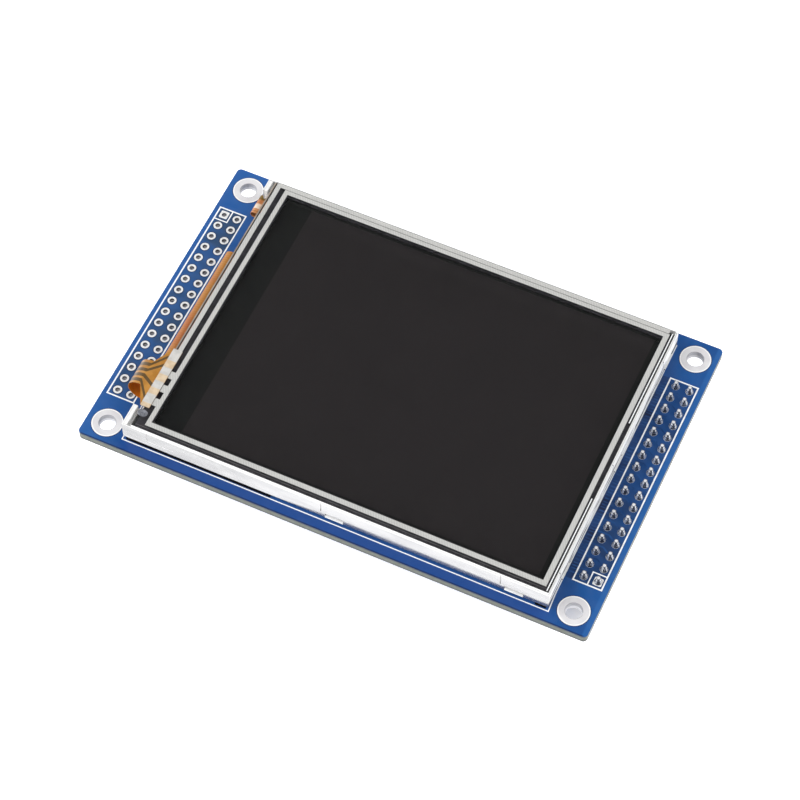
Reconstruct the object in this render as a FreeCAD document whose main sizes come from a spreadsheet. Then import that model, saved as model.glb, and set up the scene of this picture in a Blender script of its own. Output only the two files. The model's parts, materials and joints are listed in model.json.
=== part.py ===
"""A 3.2 inch display module: a circuit board that carries a liquid crystal display with a resistive touch panel.

Millimetres. The origin is the centre of the four corner holes, on the back face of the board. +Z comes out of the
screen, +X runs towards the soldered pin header and +Y away from the edge below the screen.
"""

import FreeCAD, Part
import math
import operator
import os
from types import SimpleNamespace

import Sketcher

# Driving sizes: name, value, what it is
SIZES = [
    ("board_end", 7.75, "circuit board beyond the steel tray at each end"),
    ("board_front", 2.305, "circuit board in front of the steel tray"),
    ("board_back", 2.745, "circuit board behind the steel tray"),
    ("board_thick", 1.6, "circuit board along Z"),
    ("board_corner", 0.8, "radius of the board's corners"),
    ("mount_inset", 3.8, "middle of a corner hole to the board's edges"),
    ("mount_bore", 3.0, "clear diameter of a corner hole"),
    ("mount_ring", 5.5, "diameter of the plated ring round a corner hole"),
    ("plating", 0.05, "thickness of the plated metal"),
    ("header_inset", 3.55, "middle of a header pattern to the board's end"),
    ("pin_pitch", 2.54, "between neighbouring header holes"),
    ("pin_rows", 17, "rows in a header pattern"),
    ("header_hole", 1.0, "diameter of an open header hole"),
    ("pin_square", 0.64, "side of a header pin"),
    ("pin_contact", 6.0, "pin length below its insulator"),
    ("pin_tail", 3.0, "pin length above the board's back face"),
    ("pin_point", 0.15, "chamfer at the pin's free end"),
    ("insulator_height", 2.54, "header insulator along Z"),
    ("insulator_notch", 0.5, "depth of the notches between insulator blocks"),
    ("solder_foot", 1.35, "solder cone at the board, across its flats"),
    ("solder_height", 0.95, "solder cone along Z"),
    ("solder_slope", 14.5, "solder cone's side from upright, in degrees"),
    ("tape_thick", 0.5, "foam tape between board and display"),
    ("tape_width", 5.5, "width of a foam tape strip"),
    ("tape_inset", 1.0, "strip to the tray's long edge"),
    ("tape_end", 7.25, "strip to the tray's left and right sides"),
    ("tray_length", 78.5, "steel tray along X"),
    ("tray_width", 56.45, "steel tray along Y"),
    ("tray_height", 4.0, "steel tray along Z"),
    ("tray_gauge", 0.2, "sheet thickness of the tray"),
    ("tray_round", 0.3, "bend radius at the tray's lower edges"),
    ("front_return", 4.45, "tray's left wall kept at the front corner"),
    ("back_return", 2.65, "tray's left wall kept at the back corner"),
    ("open_setback", 0.75, "floor edge behind the tray's left side where it is open"),
    ("tab_width", 5.05, "spring tab along the wall"),
    ("tab_slit", 0.15, "width of the slit round a spring tab"),
    ("tab_depth", 2.55, "slit depth from the wall's upper edge"),
    ("tab_first", 4.6, "first spring tab from the tray's left side, or its front side"),
    ("tab_last", 3.65, "last spring tab of a long wall from the tray's right side"),
    ("side_tab_last", 1.8, "last spring tab of the right wall from the tray's back side"),
    ("latch_width", 3.3, "latch nose along the wall"),
    ("latch_height", 0.35, "latch nose along Z"),
    ("latch_lift", 0.3, "latch nose above the tray's floor"),
    ("latch_proud", 0.2, "latch nose outside the tray's wall"),
    ("latch_fit", 0.1, "clearance round a latch nose in its window"),
    ("latch_rise", 0.4, "more room above a latch nose in its window"),
    ("latch_offset", 0.9, "latch nose from the start of its spring tab"),
    ("frame_fit", 0.05, "light frame to the tray's wall"),
    ("frame_wall", 0.9, "light frame's wall beside the glass"),
    ("frame_ledge", 1.2, "light frame's ledge under the glass"),
    ("riser_width", 0.6, "light frame's raised corner along X"),
    ("riser_drop", 0.05, "raised corner below the tray's upper edge"),
    ("reflector_thick", 0.1, "reflector sheet"),
    ("guide_thick", 0.65, "light guide plate"),
    ("guide_fit", 0.05, "light guide to the frame"),
    ("led_depth", 0.65, "light-emitting diode along X"),
    ("led_length", 3.0, "light-emitting diode along Y"),
    ("led_count", 6, "light-emitting diodes"),
    ("led_pitch", 8.4, "between light-emitting diodes"),
    ("strip_width", 2.9, "flexible strip that carries the diodes"),
    ("strip_margin", 1.5, "diode strip to the ledge's end"),
    ("diffuser_thick", 0.1, "diffuser sheet"),
    ("prism_thick", 0.15, "each prism sheet"),
    ("film_fit", 0.1, "optical sheets to their neighbours"),
    ("rim_tape_thick", 0.1, "black tape under the display glass"),
    ("rim_tape_width", 2.3, "black tape from the glass pocket inwards"),
    ("polarizer_thick", 0.2, "each polarizer"),
    ("rear_polarizer_inset", 0.6, "rear polarizer inside the display glass"),
    ("front_polarizer_inset", 0.2, "front polarizer inside the filter glass"),
    ("glass_thick", 0.5, "each display glass"),
    ("glass_fit", 0.15, "display glass to its pocket"),
    ("chip_length", 18.0, "driver chip along Y"),
    ("chip_width", 1.1, "driver chip along X"),
    ("chip_height", 0.4, "driver chip along Z"),
    ("chip_gap", 0.3, "driver chip to the upper glass"),
    ("bond_gap", 0.25, "display flex to the driver chip"),
    ("gasket_thick", 0.5, "foam gasket under the touch panel"),
    ("gasket_inset", 0.25, "gasket inside the touch glass"),
    ("gasket_inset_left", 0.55, "gasket inside the touch glass on the left"),
    ("gasket_reveal", 0.1, "gasket behind the electrode's inner edge"),
    ("touch_glass_thick", 1.1, "touch panel's glass"),
    ("touch_fit", 0.1, "touch panel to the tray's wall"),
    ("touch_setback", 1.3, "touch panel from the tray's left side"),
    ("silver_thick", 0.05, "printed silver between glass and film"),
    ("touch_film_thick", 0.2, "touch panel's film"),
    ("touch_film_inset", 0.05, "film inside the touch glass"),
    ("silver_front_margin", 0.95, "silver ring to the glass's front edge"),
    ("silver_front_band", 1.1, "silver ring's front band"),
    ("silver_side_margin", 0.8, "silver ring to the glass's right edge"),
    ("silver_side_band", 0.9, "silver ring's right band"),
    ("silver_band", 0.8, "silver ring's back and left bands, and the lead"),
    ("silver_back_margin", 1.05, "silver ring to the glass's back edge"),
    ("silver_left_margin", 2.55, "silver ring to the glass's left edge"),
    ("lead_margin", 0.75, "outer silver lead to the glass's left edge"),
    ("lead_back_margin", 0.15, "outer silver lead to the glass's back edge"),
    ("lead_end", 1.0, "outer silver lead short of the right edge"),
    ("link_width", 1.5, "silver link from the ring to the bond"),
    ("link_pitch", 2.95, "between silver links"),
    ("link_count", 3, "silver links"),
    ("link_first", 4.95, "first silver link from the glass's front edge"),
    ("bond_first", 4.15, "flex bond from the glass's front edge"),
    ("bond_length", 12.4, "flex bond along Y"),
    ("bond_width", 1.7, "flex bond along X"),
    ("bond_seal", 0.1, "pale seal on top of the flex bond"),
    ("bond_fit", 0.05, "film to the flex bond"),
    ("tail_thick", 0.1, "touch flex tail"),
    ("tail_reach", 4.55, "touch flex tail beyond the touch glass"),
    ("tail_width", 5.05, "touch flex tail along Y where it is narrow"),
    ("tail_first", 7.85, "narrow tail from the glass's front edge"),
    ("neck_length", 1.9, "length of the tail's narrowing neck"),
    ("tail_under", 4.0, "tail's lower run under the glass"),
    ("flex_thick", 0.12, "display flex"),
    ("flex_width", 24.5, "display flex along Y"),
    ("flex_gap", 2.775, "display flex behind the touch flex tail"),
    ("flex_bond", 1.25, "display flex on the lower glass"),
    ("flex_reach", 2.15, "display flex beyond the lower glass"),
    ("flex_under", 9.0, "display flex's lower run under the glass"),
    ("led_flex_thick", 0.1, "diode strip and its tab"),
    ("led_tab_width", 4.1, "diode strip's tab along Y"),
    ("led_tab_gap", 0.2, "diode strip's tab to the side of its notch"),
    ("led_notch", 1.0, "notch for the diode strip's tab under the back return"),
    ("led_tab_reach", 1.85, "diode strip's tab beyond the open floor edge"),
    ("led_tab_under", 1.5, "tab's lower run under the floor"),
    ("controller_x", -20.0, "touch controller, along X"),
    ("controller_y", 8.0, "touch controller, along Y"),
    ("controller_length", 5.0, "touch controller's package along Y"),
    ("controller_width", 4.4, "touch controller's package along X"),
    ("controller_height", 1.0, "touch controller's package along Z"),
    ("package_lift", 0.1, "packages above the board's back face"),
    ("package_slope", 0.2, "chamfer of the packages"),
    ("lead_pitch", 0.65, "between controller leads"),
    ("leads_a_side", 8, "controller leads on each side"),
    ("lead_width", 0.25, "controller lead along Y"),
    ("lead_thick", 0.15, "lead sheet"),
    ("lead_foot", 0.6, "lead's foot on the board"),
    ("lead_spread", 1.0, "lead beyond the package"),
    ("transistor_x", -28.0, "backlight transistor, along X"),
    ("transistor_y", -14.0, "backlight transistor, along Y"),
    ("transistor_length", 2.9, "transistor's package along Y"),
    ("transistor_width", 1.3, "transistor's package along X"),
    ("transistor_height", 1.0, "transistor's package along Z"),
    ("transistor_lead", 0.4, "transistor lead along Y"),
    ("transistor_pitch", 0.95, "transistor lead from the middle"),
    ("transistor_spread", 0.55, "transistor lead beyond the package"),
    ("transistor_foot", 0.3, "transistor lead's foot on the board"),
    ("chip_part_length", 1.6, "chip resistor or capacitor along X"),
    ("chip_part_width", 0.8, "chip resistor or capacitor along Y"),
    ("chip_part_end", 0.3, "metal end of a chip part"),
    ("resistor_height", 0.45, "chip resistor along Z"),
    ("resistor_count", 6, "chip resistors"),
    ("resistor_pitch", 2.0, "between chip resistors"),
    ("resistor_x", -12.0, "chip resistors, along X"),
    ("resistor_y", -18.0, "first chip resistor, along Y"),
    ("capacitor_height", 0.8, "chip capacitor along Z"),
    ("capacitor_count", 4, "chip capacitors"),
    ("capacitor_pitch", 3.0, "between chip capacitors"),
    ("capacitor_x", -12.0, "chip capacitors, along X"),
    ("capacitor_y", 4.0, "first chip capacitor, along Y"),
]

# Small round shapes that repeat are cut as polygons, which keeps the model light
HOLE_SIDES = 12
SOLDER_SIDES = 8

OPERATIONS = {"+": operator.add, "-": operator.sub, "*": operator.mul, "/": operator.truediv}

doc = FreeCAD.newDocument("display_module")
sheet = doc.addObject("Spreadsheet::Sheet", "sheet")


class Size:
    """A length with the formula that ties it to the sheet, so that sums of sizes stay tied to it too."""

    def __init__(self, text, value):
        self.text = text
        self.value = value

    def __add__(self, other):
        return combined(self, "+", other)

    def __sub__(self, other):
        return combined(self, "-", other)

    def __rsub__(self, other):
        return combined(other, "-", self)

    def __mul__(self, other):
        return combined(self, "*", other)

    def __truediv__(self, other):
        return combined(self, "/", other)

    def __neg__(self):
        return combined(0, "-", self)


def as_size(number):
    return number if isinstance(number, Size) else Size(str(number), float(number))


def combined(left, sign, right):
    left = as_size(left)
    right = as_size(right)
    return Size(f"({left.text} {sign} {right.text})", OPERATIONS[sign](left.value, right.value))


def fill_sheet():
    """Writes the driving sizes into the sheet and gives each back under its name."""
    for row, (alias, value, note) in enumerate(SIZES, start=1):
        sheet.set(f"A{row}", note)
        sheet.set(f"B{row}", str(value))
        sheet.setAlias(f"B{row}", alias)
    doc.recompute()
    return SimpleNamespace(**{alias: Size(f"sheet.{alias}", float(sheet.get(alias))) for alias, _, _ in SIZES})


def bind(item, **settings):
    """Binds properties to sizes. A double underscore in a name stands for a dot."""
    for name, value in settings.items():
        item.setExpression(name.replace("__", "."), as_size(value).text)


def move(item, x, y, z):
    bind(item, Placement__Base__x=x, Placement__Base__y=y, Placement__Base__z=z)


def new_body(label):
    body = doc.addObject("PartDesign::Body", label)
    body.Label = label
    body.AllowCompound = True
    return body


def origin_item(body, role):
    return next(item for item in body.Origin.OriginFeatures if item.Role == role)


def sketch_on(body, role, offset):
    """A sketch on one of the body's own origin planes, moved along the plane's normal."""
    sketch = body.newObject("Sketcher::SketchObject", "sketch")
    sketch.AttachmentSupport = [(origin_item(body, role), "")]
    sketch.MapMode = "FlatFace"
    bind(sketch, AttachmentOffset__Base__z=offset)
    return sketch


def constrain(sketch, kind, *items, size):
    index = sketch.addConstraint(Sketcher.Constraint(kind, *items, as_size(size).value))
    sketch.setExpression(f"Constraints[{index}]", as_size(size).text)


def hold(sketch, geometry, point, x, y):
    """Holds a point at its two distances from the sketch's origin."""
    constrain(sketch, "DistanceX", -1, 1, geometry, point, size=x)
    constrain(sketch, "DistanceY", -1, 1, geometry, point, size=y)


def outline(sketch, corners):
    """A closed outline of straight sides."""
    spots = [FreeCAD.Vector(as_size(x).value, as_size(y).value, 0) for x, y in corners]
    first = sketch.GeometryCount
    count = len(corners)
    for start, end in zip(spots, spots[1:] + spots[:1]):
        sketch.addGeometry(Part.LineSegment(start, end), False)
    for place, (x, y) in enumerate(corners):
        before = first + (place - 1) % count
        sketch.addConstraint(Sketcher.Constraint("Coincident", before, 2, first + place, 1))
        hold(sketch, first + place, 1, x, y)


def rectangle(sketch, left, right, front, back):
    outline(sketch, [(left, front), (right, front), (right, back), (left, back)])


def polygon(sketch, x, y, across, sides):
    """A regular polygon with an even number of sides, by its distance across flats."""
    turn = math.tau / sides
    reach = 0.5 / math.cos(turn / 2)
    angles = [turn * (side + 0.5) for side in range(sides)]
    outline(
        sketch,
        [(x + across * (reach * math.cos(angle)), y + across * (reach * math.sin(angle))) for angle in angles],
    )


def circle(sketch, x, y, diameter):
    spot = FreeCAD.Vector(x.value, y.value, 0)
    index = sketch.addGeometry(Part.Circle(spot, FreeCAD.Vector(0, 0, 1), diameter.value / 2), False)
    hold(sketch, index, 3, x, y)
    constrain(sketch, "Diameter", index, size=diameter)


def feature(body, kind, sketch, **settings):
    """Adds a feature made from a sketch and makes it the body's tip."""
    item = body.newObject(f"PartDesign::{kind}", kind.lower())
    item.Profile = sketch
    bind(item, **settings)
    body.Tip = item
    return item


def pad(body, sketch, length):
    return feature(body, "Pad", sketch, Length=length)


def pocket(body, sketch, length):
    """Cuts along the sketch's normal."""
    item = feature(body, "Pocket", sketch, Length=length)
    item.Reversed = True
    return item


def add_block(body, left, right, front, back, bottom, top):
    sketch = sketch_on(body, "XY_Plane", bottom)
    rectangle(sketch, left, right, front, back)
    return pad(body, sketch, as_size(top) - bottom)


def cut_block(body, left, right, front, back, bottom, top):
    sketch = sketch_on(body, "XY_Plane", bottom)
    rectangle(sketch, left, right, front, back)
    return pocket(body, sketch, as_size(top) - bottom)


def along(pattern, body, number, role, step, count):
    """Sets one of a pattern's two directions."""
    setattr(pattern, f"Direction{number}", (origin_item(body, role), [""]))
    pattern.setExpression(f"Length{number}", ((as_size(count) - 1) * step).text)
    pattern.setExpression(f"Occurrences{number}", as_size(count).text)


def copies(body, kind, originals):
    """A feature that copies others, or the whole body so far where none are named."""
    base = body.Tip
    item = body.newObject(f"PartDesign::{kind}", kind.lower())
    if originals:
        item.Originals = originals
    else:
        item.TransformMode = "Whole shape"
        item.BaseFeature = base
    return item


def repeat(body, originals, role, step, count, second=None):
    """Repeats features or the whole body in one or two directions."""
    pattern = copies(body, "LinearPattern", originals)
    along(pattern, body, "", role, step, count)
    if second:
        along(pattern, body, "2", *second)
    body.Tip = pattern
    return pattern


def mirror(body, originals, role):
    """Mirrors features or the whole body in an origin plane."""
    item = copies(body, "Mirrored", originals)
    item.MirrorPlane = (origin_item(body, role), [""])
    body.Tip = item
    return item


def dress(body, kind, base, chosen, **settings):
    """A fillet or chamfer on the edges of a feature that the test picks."""
    doc.recompute()
    edges = [f"Edge{place}" for place, edge in enumerate(base.Shape.Edges, start=1) if chosen(edge.BoundBox)]
    item = body.newObject(f"PartDesign::{kind}", kind.lower())
    item.Base = (base, edges)
    bind(item, **settings)
    body.Tip = item
    return item


def split_faces(shape):
    """Names of the upright faces, and of the level ones from the lowest up."""
    named = [(f"Face{place}", face.BoundBox) for place, face in enumerate(shape.Faces, start=1)]
    sides = [name for name, box in named if box.ZLength > 1e-3]
    level = [(box.ZMin, name) for name, box in named if box.ZLength <= 1e-3]
    return sides, [name for _, name in sorted(level)]


def upright(box):
    return box.XLength < 1e-3 and box.YLength < 1e-3


def lowest_of(base):
    return lambda box: box.ZMax < base.Shape.BoundBox.ZMin + 1e-3


def slab(label, left, right, front, back, bottom, thick):
    """A plain sheet in the display, placed from the display's own origin."""
    item = doc.addObject("Part::Box", label)
    item.Label = label
    bind(item, Length=right - left, Width=back - front, Height=thick)
    move(item, left, front - display_shift, bottom + display_floor)
    return item


def seat_display(body):
    """The display's own origin is the middle of the tray's underside."""
    move(body, 0, -display_shift, display_floor)


size = fill_sheet()

# Levels in the module's own frame
board_top = size.board_thick
display_floor = board_top + size.tape_thick

# Levels in the display, from the tray's underside up
board_level = -size.tape_thick
tray_floor = size.tray_gauge
guide_level = tray_floor + size.reflector_thick
film_level = guide_level + size.guide_thick
lower_prism_level = film_level + size.diffuser_thick
upper_prism_level = lower_prism_level + size.prism_thick
ledge_level = upper_prism_level + size.prism_thick
rear_polarizer_level = ledge_level + size.rim_tape_thick
lower_glass_level = rear_polarizer_level + size.polarizer_thick
upper_glass_level = lower_glass_level + size.glass_thick
front_polarizer_level = upper_glass_level + size.glass_thick
rim_level = front_polarizer_level + size.polarizer_thick
touch_glass_level = rim_level + size.gasket_thick
silver_level = touch_glass_level + size.touch_glass_thick
touch_film_level = silver_level + size.silver_thick

# Half sizes and edges in the display
tray_x = size.tray_length / 2
tray_y = size.tray_width / 2
tab_pitch = (size.tray_length - size.tab_first - size.tab_last - size.tab_width) / 2
side_tab_pitch = (size.tray_width - size.tab_first - size.side_tab_last - size.tab_width) / 2
tray_inner_x = tray_x - size.tray_gauge
tray_inner_y = tray_y - size.tray_gauge
open_front = size.front_return - tray_y
open_back = tray_y - size.back_return
open_edge = size.open_setback - tray_x
frame_x = tray_inner_x - size.frame_fit
frame_y = tray_inner_y - size.frame_fit
pocket_x = frame_x - size.frame_wall
pocket_y = frame_y - size.frame_wall
well_x = pocket_x - size.frame_ledge
well_y = pocket_y - size.frame_ledge
glass_x = pocket_x - size.glass_fit
glass_y = pocket_y - size.glass_fit
flex_bond_end = size.flex_bond - glass_x
chip_left = flex_bond_end + size.bond_gap
upper_glass_left = chip_left + size.chip_width + size.chip_gap
touch_left = size.touch_setback - tray_x
touch_right = tray_inner_x - size.touch_fit
touch_y = tray_inner_y - size.touch_fit
ring_left = touch_left + size.silver_left_margin
ring_right = touch_right - size.silver_side_margin
ring_front = size.silver_front_margin - touch_y
ring_back = touch_y - size.silver_back_margin
view_left = ring_left + size.silver_band
view_right = ring_right - size.silver_side_band
view_front = ring_front + size.silver_front_band
view_back = ring_back - size.silver_band
bond_front = size.bond_first - touch_y
bond_back = bond_front + size.bond_length
bond_right = touch_left + size.bond_width
tail_front = size.tail_first - touch_y
tail_back = tail_front + size.tail_width
flex_front = tail_back + size.flex_gap
flex_back = flex_front + size.flex_width
led_notch_back = open_back + size.led_notch
led_tab_back = led_notch_back - size.led_tab_gap
led_tab_front = led_tab_back - size.led_tab_width

# The board reaches past the tray. Its own middle is the origin, so the display sits a little in front of it.
board_x = tray_x + size.board_end
board_y = tray_y + (size.board_front + size.board_back) / 2
display_shift = (size.board_back - size.board_front) / 2
mount_x = board_x - size.mount_inset
mount_y = board_y - size.mount_inset

# The header patterns: from the board's middle to their own, and from there to the first row
header_x = board_x - size.header_inset
first_row = -(size.pin_rows - 1) * size.pin_pitch / 2
half_pitch = size.pin_pitch / 2
rows = ("Y_Axis", size.pin_pitch, size.pin_rows)


def header_grid(body, originals):
    """Two columns of header places, from the one nearest the middle of the board's front edge."""
    return repeat(body, originals, "X_Axis", size.pin_pitch, 2, second=rows)


def circuit_board():
    body = new_body("circuit_board")
    blank = add_block(body, -board_x, board_x, -board_y, board_y, 0, size.board_thick)
    dress(body, "Fillet", blank, upright, Radius=size.board_corner)

    corner = sketch_on(body, "XY_Plane", 0)
    circle(corner, -mount_x, -mount_y, size.mount_bore + size.plating * 2)
    drilled = pocket(body, corner, size.board_thick)
    repeat(body, [drilled], "X_Axis", mount_x * 2, 2, second=("Y_Axis", mount_y * 2, 2))

    open_hole = sketch_on(body, "XY_Plane", 0)
    polygon(open_hole, -header_x - half_pitch, first_row, size.header_hole, HOLE_SIDES)
    header_grid(body, [pocket(body, open_hole, size.board_thick)])

    # The soldered pins fill their holes, so each is cut to the pin
    half_pin = size.pin_square / 2
    left = header_x - half_pitch
    filled = cut_block(
        body, left - half_pin, left + half_pin, first_row - half_pin, first_row + half_pin, 0, size.board_thick
    )
    header_grid(body, [filled])
    return body


def mounting_rings():
    """Plated rings on both faces, joined through each corner hole by the plating of its wall."""
    body = new_body("mounting_rings")
    bore = size.mount_bore / 2
    wall = bore + size.plating
    rim = size.mount_ring / 2
    top = size.board_thick
    profile = sketch_on(body, "XZ_Plane", 0)
    outline(
        profile,
        [
            (bore, -size.plating),
            (rim, -size.plating),
            (rim, 0),
            (wall, 0),
            (wall, top),
            (rim, top),
            (rim, top + size.plating),
            (bore, top + size.plating),
        ],
    )
    ring = feature(body, "Revolution", profile)
    ring.ReferenceAxis = (profile, ["V_Axis"])
    repeat(body, [], "X_Axis", mount_x * 2, 2, second=("Y_Axis", mount_y * 2, 2))
    move(body, -mount_x, -mount_y, 0)
    return body


def header_pins():
    body = new_body("header_pins")
    half = size.pin_square / 2
    free_end = -size.insulator_height - size.pin_contact
    pin = add_block(body, -half, half, -half, half, free_end, size.pin_tail)
    dress(body, "Chamfer", pin, lowest_of(pin), Size=size.pin_point)
    header_grid(body, [])
    move(body, header_x - half_pitch, first_row, 0)
    return body


def header_insulator():
    """A moulded strip of joined blocks, one for each row of pins."""
    body = new_body("header_insulator")
    side = size.pin_pitch
    end = size.pin_rows * size.pin_pitch / 2
    height = size.insulator_height
    add_block(body, -side, side, -end, end, -height, 0)

    notch = sketch_on(body, "XY_Plane", -height)
    joint = size.pin_pitch - end
    depth = size.insulator_notch
    for edge, sign in ((side, 1), (-side, -1)):
        outline(notch, [(edge, joint - depth), (edge, joint + depth), (edge - depth * sign, joint)])
    notches = pocket(body, notch, height)
    repeat(body, [notches], "Y_Axis", size.pin_pitch, size.pin_rows - 1)

    half = size.pin_square / 2
    hole = cut_block(
        body, -half_pitch - half, half - half_pitch, first_row - half, first_row + half, -height, 0
    )
    header_grid(body, [hole])
    move(body, header_x, 0, 0)
    return body


def solder_joints():
    """A cone of solder round each pin, on the upper face of the board."""
    body = new_body("solder_joints")
    foot = sketch_on(body, "XY_Plane", 0)
    polygon(foot, as_size(0), as_size(0), size.solder_foot, SOLDER_SIDES)
    blank = pad(body, foot, size.solder_height)
    doc.recompute()
    sides, ends = split_faces(blank.Shape)
    cone = body.newObject("PartDesign::Draft", "draft")
    cone.Base = (blank, sides)
    cone.NeutralPlane = (blank, ends[:1])
    bind(cone, Angle=size.solder_slope)
    body.Tip = cone
    half = size.pin_square / 2
    cut_block(body, -half, half, -half, half, 0, size.solder_height)
    header_grid(body, [])
    move(body, header_x - half_pitch, first_row, board_top)
    return body


def mounting_tape():
    """Two strips of foam tape under the tray's long sides."""
    body = new_body("mounting_tape")
    outer = tray_y - size.tape_inset
    half = tray_x - size.tape_end
    sketch = sketch_on(body, "XY_Plane", board_level)
    rectangle(sketch, -half, half, -outer, size.tape_width - outer)
    rectangle(sketch, -half, half, outer - size.tape_width, outer)
    pad(body, sketch, size.tape_thick)
    seat_display(body)
    return body


def tab_slit(body, role, start, wall, inward):
    """An L-shaped slit that frees a spring tab from the upper edge of a wall."""
    sketch = sketch_on(body, role, wall)
    top = size.tray_height
    low = top - size.tab_depth
    end = start + size.tab_width
    outline(
        sketch,
        [
            (start, top),
            (start, low),
            (end, low),
            (end, low + size.tab_slit),
            (start + size.tab_slit, low + size.tab_slit),
            (start + size.tab_slit, top),
        ],
    )
    cut = pocket(body, sketch, size.tray_gauge)
    cut.Reversed = inward
    return cut


def latch_window(body, role, start, wall, inward):
    """An opening in a wall for a latch nose of the light frame."""
    sketch = sketch_on(body, role, wall)
    left = start + size.latch_offset - size.latch_fit
    bottom = tray_floor + size.latch_lift - size.latch_fit
    rectangle(
        sketch,
        left,
        left + size.latch_width + size.latch_fit * 2,
        bottom,
        bottom + size.latch_height + size.latch_fit * 2 + size.latch_rise,
    )
    cut = pocket(body, sketch, size.tray_gauge)
    cut.Reversed = inward
    return cut


def metal_frame():
    """A folded steel tray, open on the left between two short corner returns."""
    body = new_body("metal_frame")
    blank = add_block(body, -tray_x, tray_x, -tray_y, tray_y, 0, size.tray_height)
    dress(body, "Fillet", blank, lowest_of(blank), Radius=size.tray_round)
    cut_block(
        body, -tray_inner_x, tray_inner_x, -tray_inner_y, tray_inner_y, tray_floor, size.tray_height
    )
    cut_block(body, -tray_x, open_edge, open_front, open_back, 0, size.tray_height)
    cut_block(body, -tray_x, open_edge, open_back, led_notch_back, 0, ledge_level)

    first_tab = size.tab_first - tray_x
    slit = tab_slit(body, "XZ_Plane", first_tab, tray_y, False)
    slits = repeat(body, [slit], "X_Axis", tab_pitch, 3)
    window = latch_window(body, "XZ_Plane", first_tab + tab_pitch, tray_y, False)
    windows = repeat(body, [window], "X_Axis", tab_pitch, 2)

    back_slit = tab_slit(body, "XZ_Plane", first_tab, -tray_y, True)
    repeat(body, [back_slit], "X_Axis", tab_pitch, 3)
    back_window = latch_window(body, "XZ_Plane", first_tab + tab_pitch, -tray_y, True)
    repeat(body, [back_window], "X_Axis", tab_pitch, 2)

    first_side_tab = size.tab_first - tray_y
    side_slit = tab_slit(body, "YZ_Plane", first_side_tab, tray_x, False)
    repeat(body, [side_slit], "Y_Axis", side_tab_pitch, 3)
    side_window = latch_window(body, "YZ_Plane", first_side_tab, tray_x, False)
    repeat(body, [side_window], "Y_Axis", side_tab_pitch, 3)
    seat_display(body)
    return body


def latch_nose(body, role, start, wall, outward):
    """A nose on the light frame's wall that reaches out through the tray's window."""
    sketch = sketch_on(body, role, wall)
    left = start + size.latch_offset
    bottom = tray_floor + size.latch_lift
    rectangle(sketch, left, left + size.latch_width, bottom, bottom + size.latch_height)
    nose = pad(body, sketch, size.frame_fit + size.tray_gauge + size.latch_proud)
    nose.Reversed = outward
    return nose


def light_frame():
    """The white moulding that holds the light guide, the sheets and the display glass."""
    body = new_body("light_frame")
    add_block(body, -frame_x, frame_x, -frame_y, frame_y, tray_floor, rim_level)
    cut_block(body, -pocket_x, pocket_x, -pocket_y, pocket_y, ledge_level, rim_level)
    cut_block(body, -well_x, well_x, -well_y, well_y, tray_floor, ledge_level)

    # The left side is low and set back where the flexes leave
    cut_block(body, -frame_x, open_edge, open_front, open_back, tray_floor, rim_level)
    cut_block(body, open_edge, -pocket_x, open_front, open_back, ledge_level, rim_level)
    cut_block(body, -frame_x, open_edge, open_back, led_notch_back, tray_floor, ledge_level)
    cut_block(
        body,
        open_edge,
        size.guide_fit - well_x,
        led_tab_front - size.guide_fit,
        led_tab_back + size.guide_fit,
        film_level,
        ledge_level,
    )

    riser_top = size.tray_height - size.riser_drop
    for front, back in ((-frame_y, open_front), (open_back, frame_y)):
        add_block(body, -frame_x, size.riser_width - frame_x, front, back, rim_level, riser_top)

    first_tab = size.tab_first - tray_x
    for wall, outward in ((frame_y, False), (-frame_y, True)):
        nose = latch_nose(body, "XZ_Plane", first_tab + tab_pitch, wall, outward)
        repeat(body, [nose], "X_Axis", tab_pitch, 2)
    side_nose = latch_nose(body, "YZ_Plane", size.tab_first - tray_y, frame_x, False)
    repeat(body, [side_nose], "Y_Axis", side_tab_pitch, 3)
    seat_display(body)
    return body


def reflector_sheet():
    x = well_x - size.guide_fit
    y = well_y - size.guide_fit
    return slab("reflector_sheet", -x, x, -y, y, tray_floor, size.reflector_thick)


def light_guide():
    left = size.guide_fit * 2 + size.led_depth - well_x
    y = well_y - size.guide_fit
    return slab("light_guide", left, well_x - size.guide_fit, -y, y, guide_level, size.guide_thick)


def backlight_leds():
    """Side-firing diodes in a row against the light guide's left edge."""
    body = new_body("backlight_leds")
    left = size.guide_fit - well_x
    front = -((size.led_count - 1) * size.led_pitch + size.led_length) / 2
    add_block(
        body, left, left + size.led_depth, front, front + size.led_length, guide_level, film_level
    )
    repeat(body, [], "Y_Axis", size.led_pitch, size.led_count)
    seat_display(body)
    return body


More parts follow.
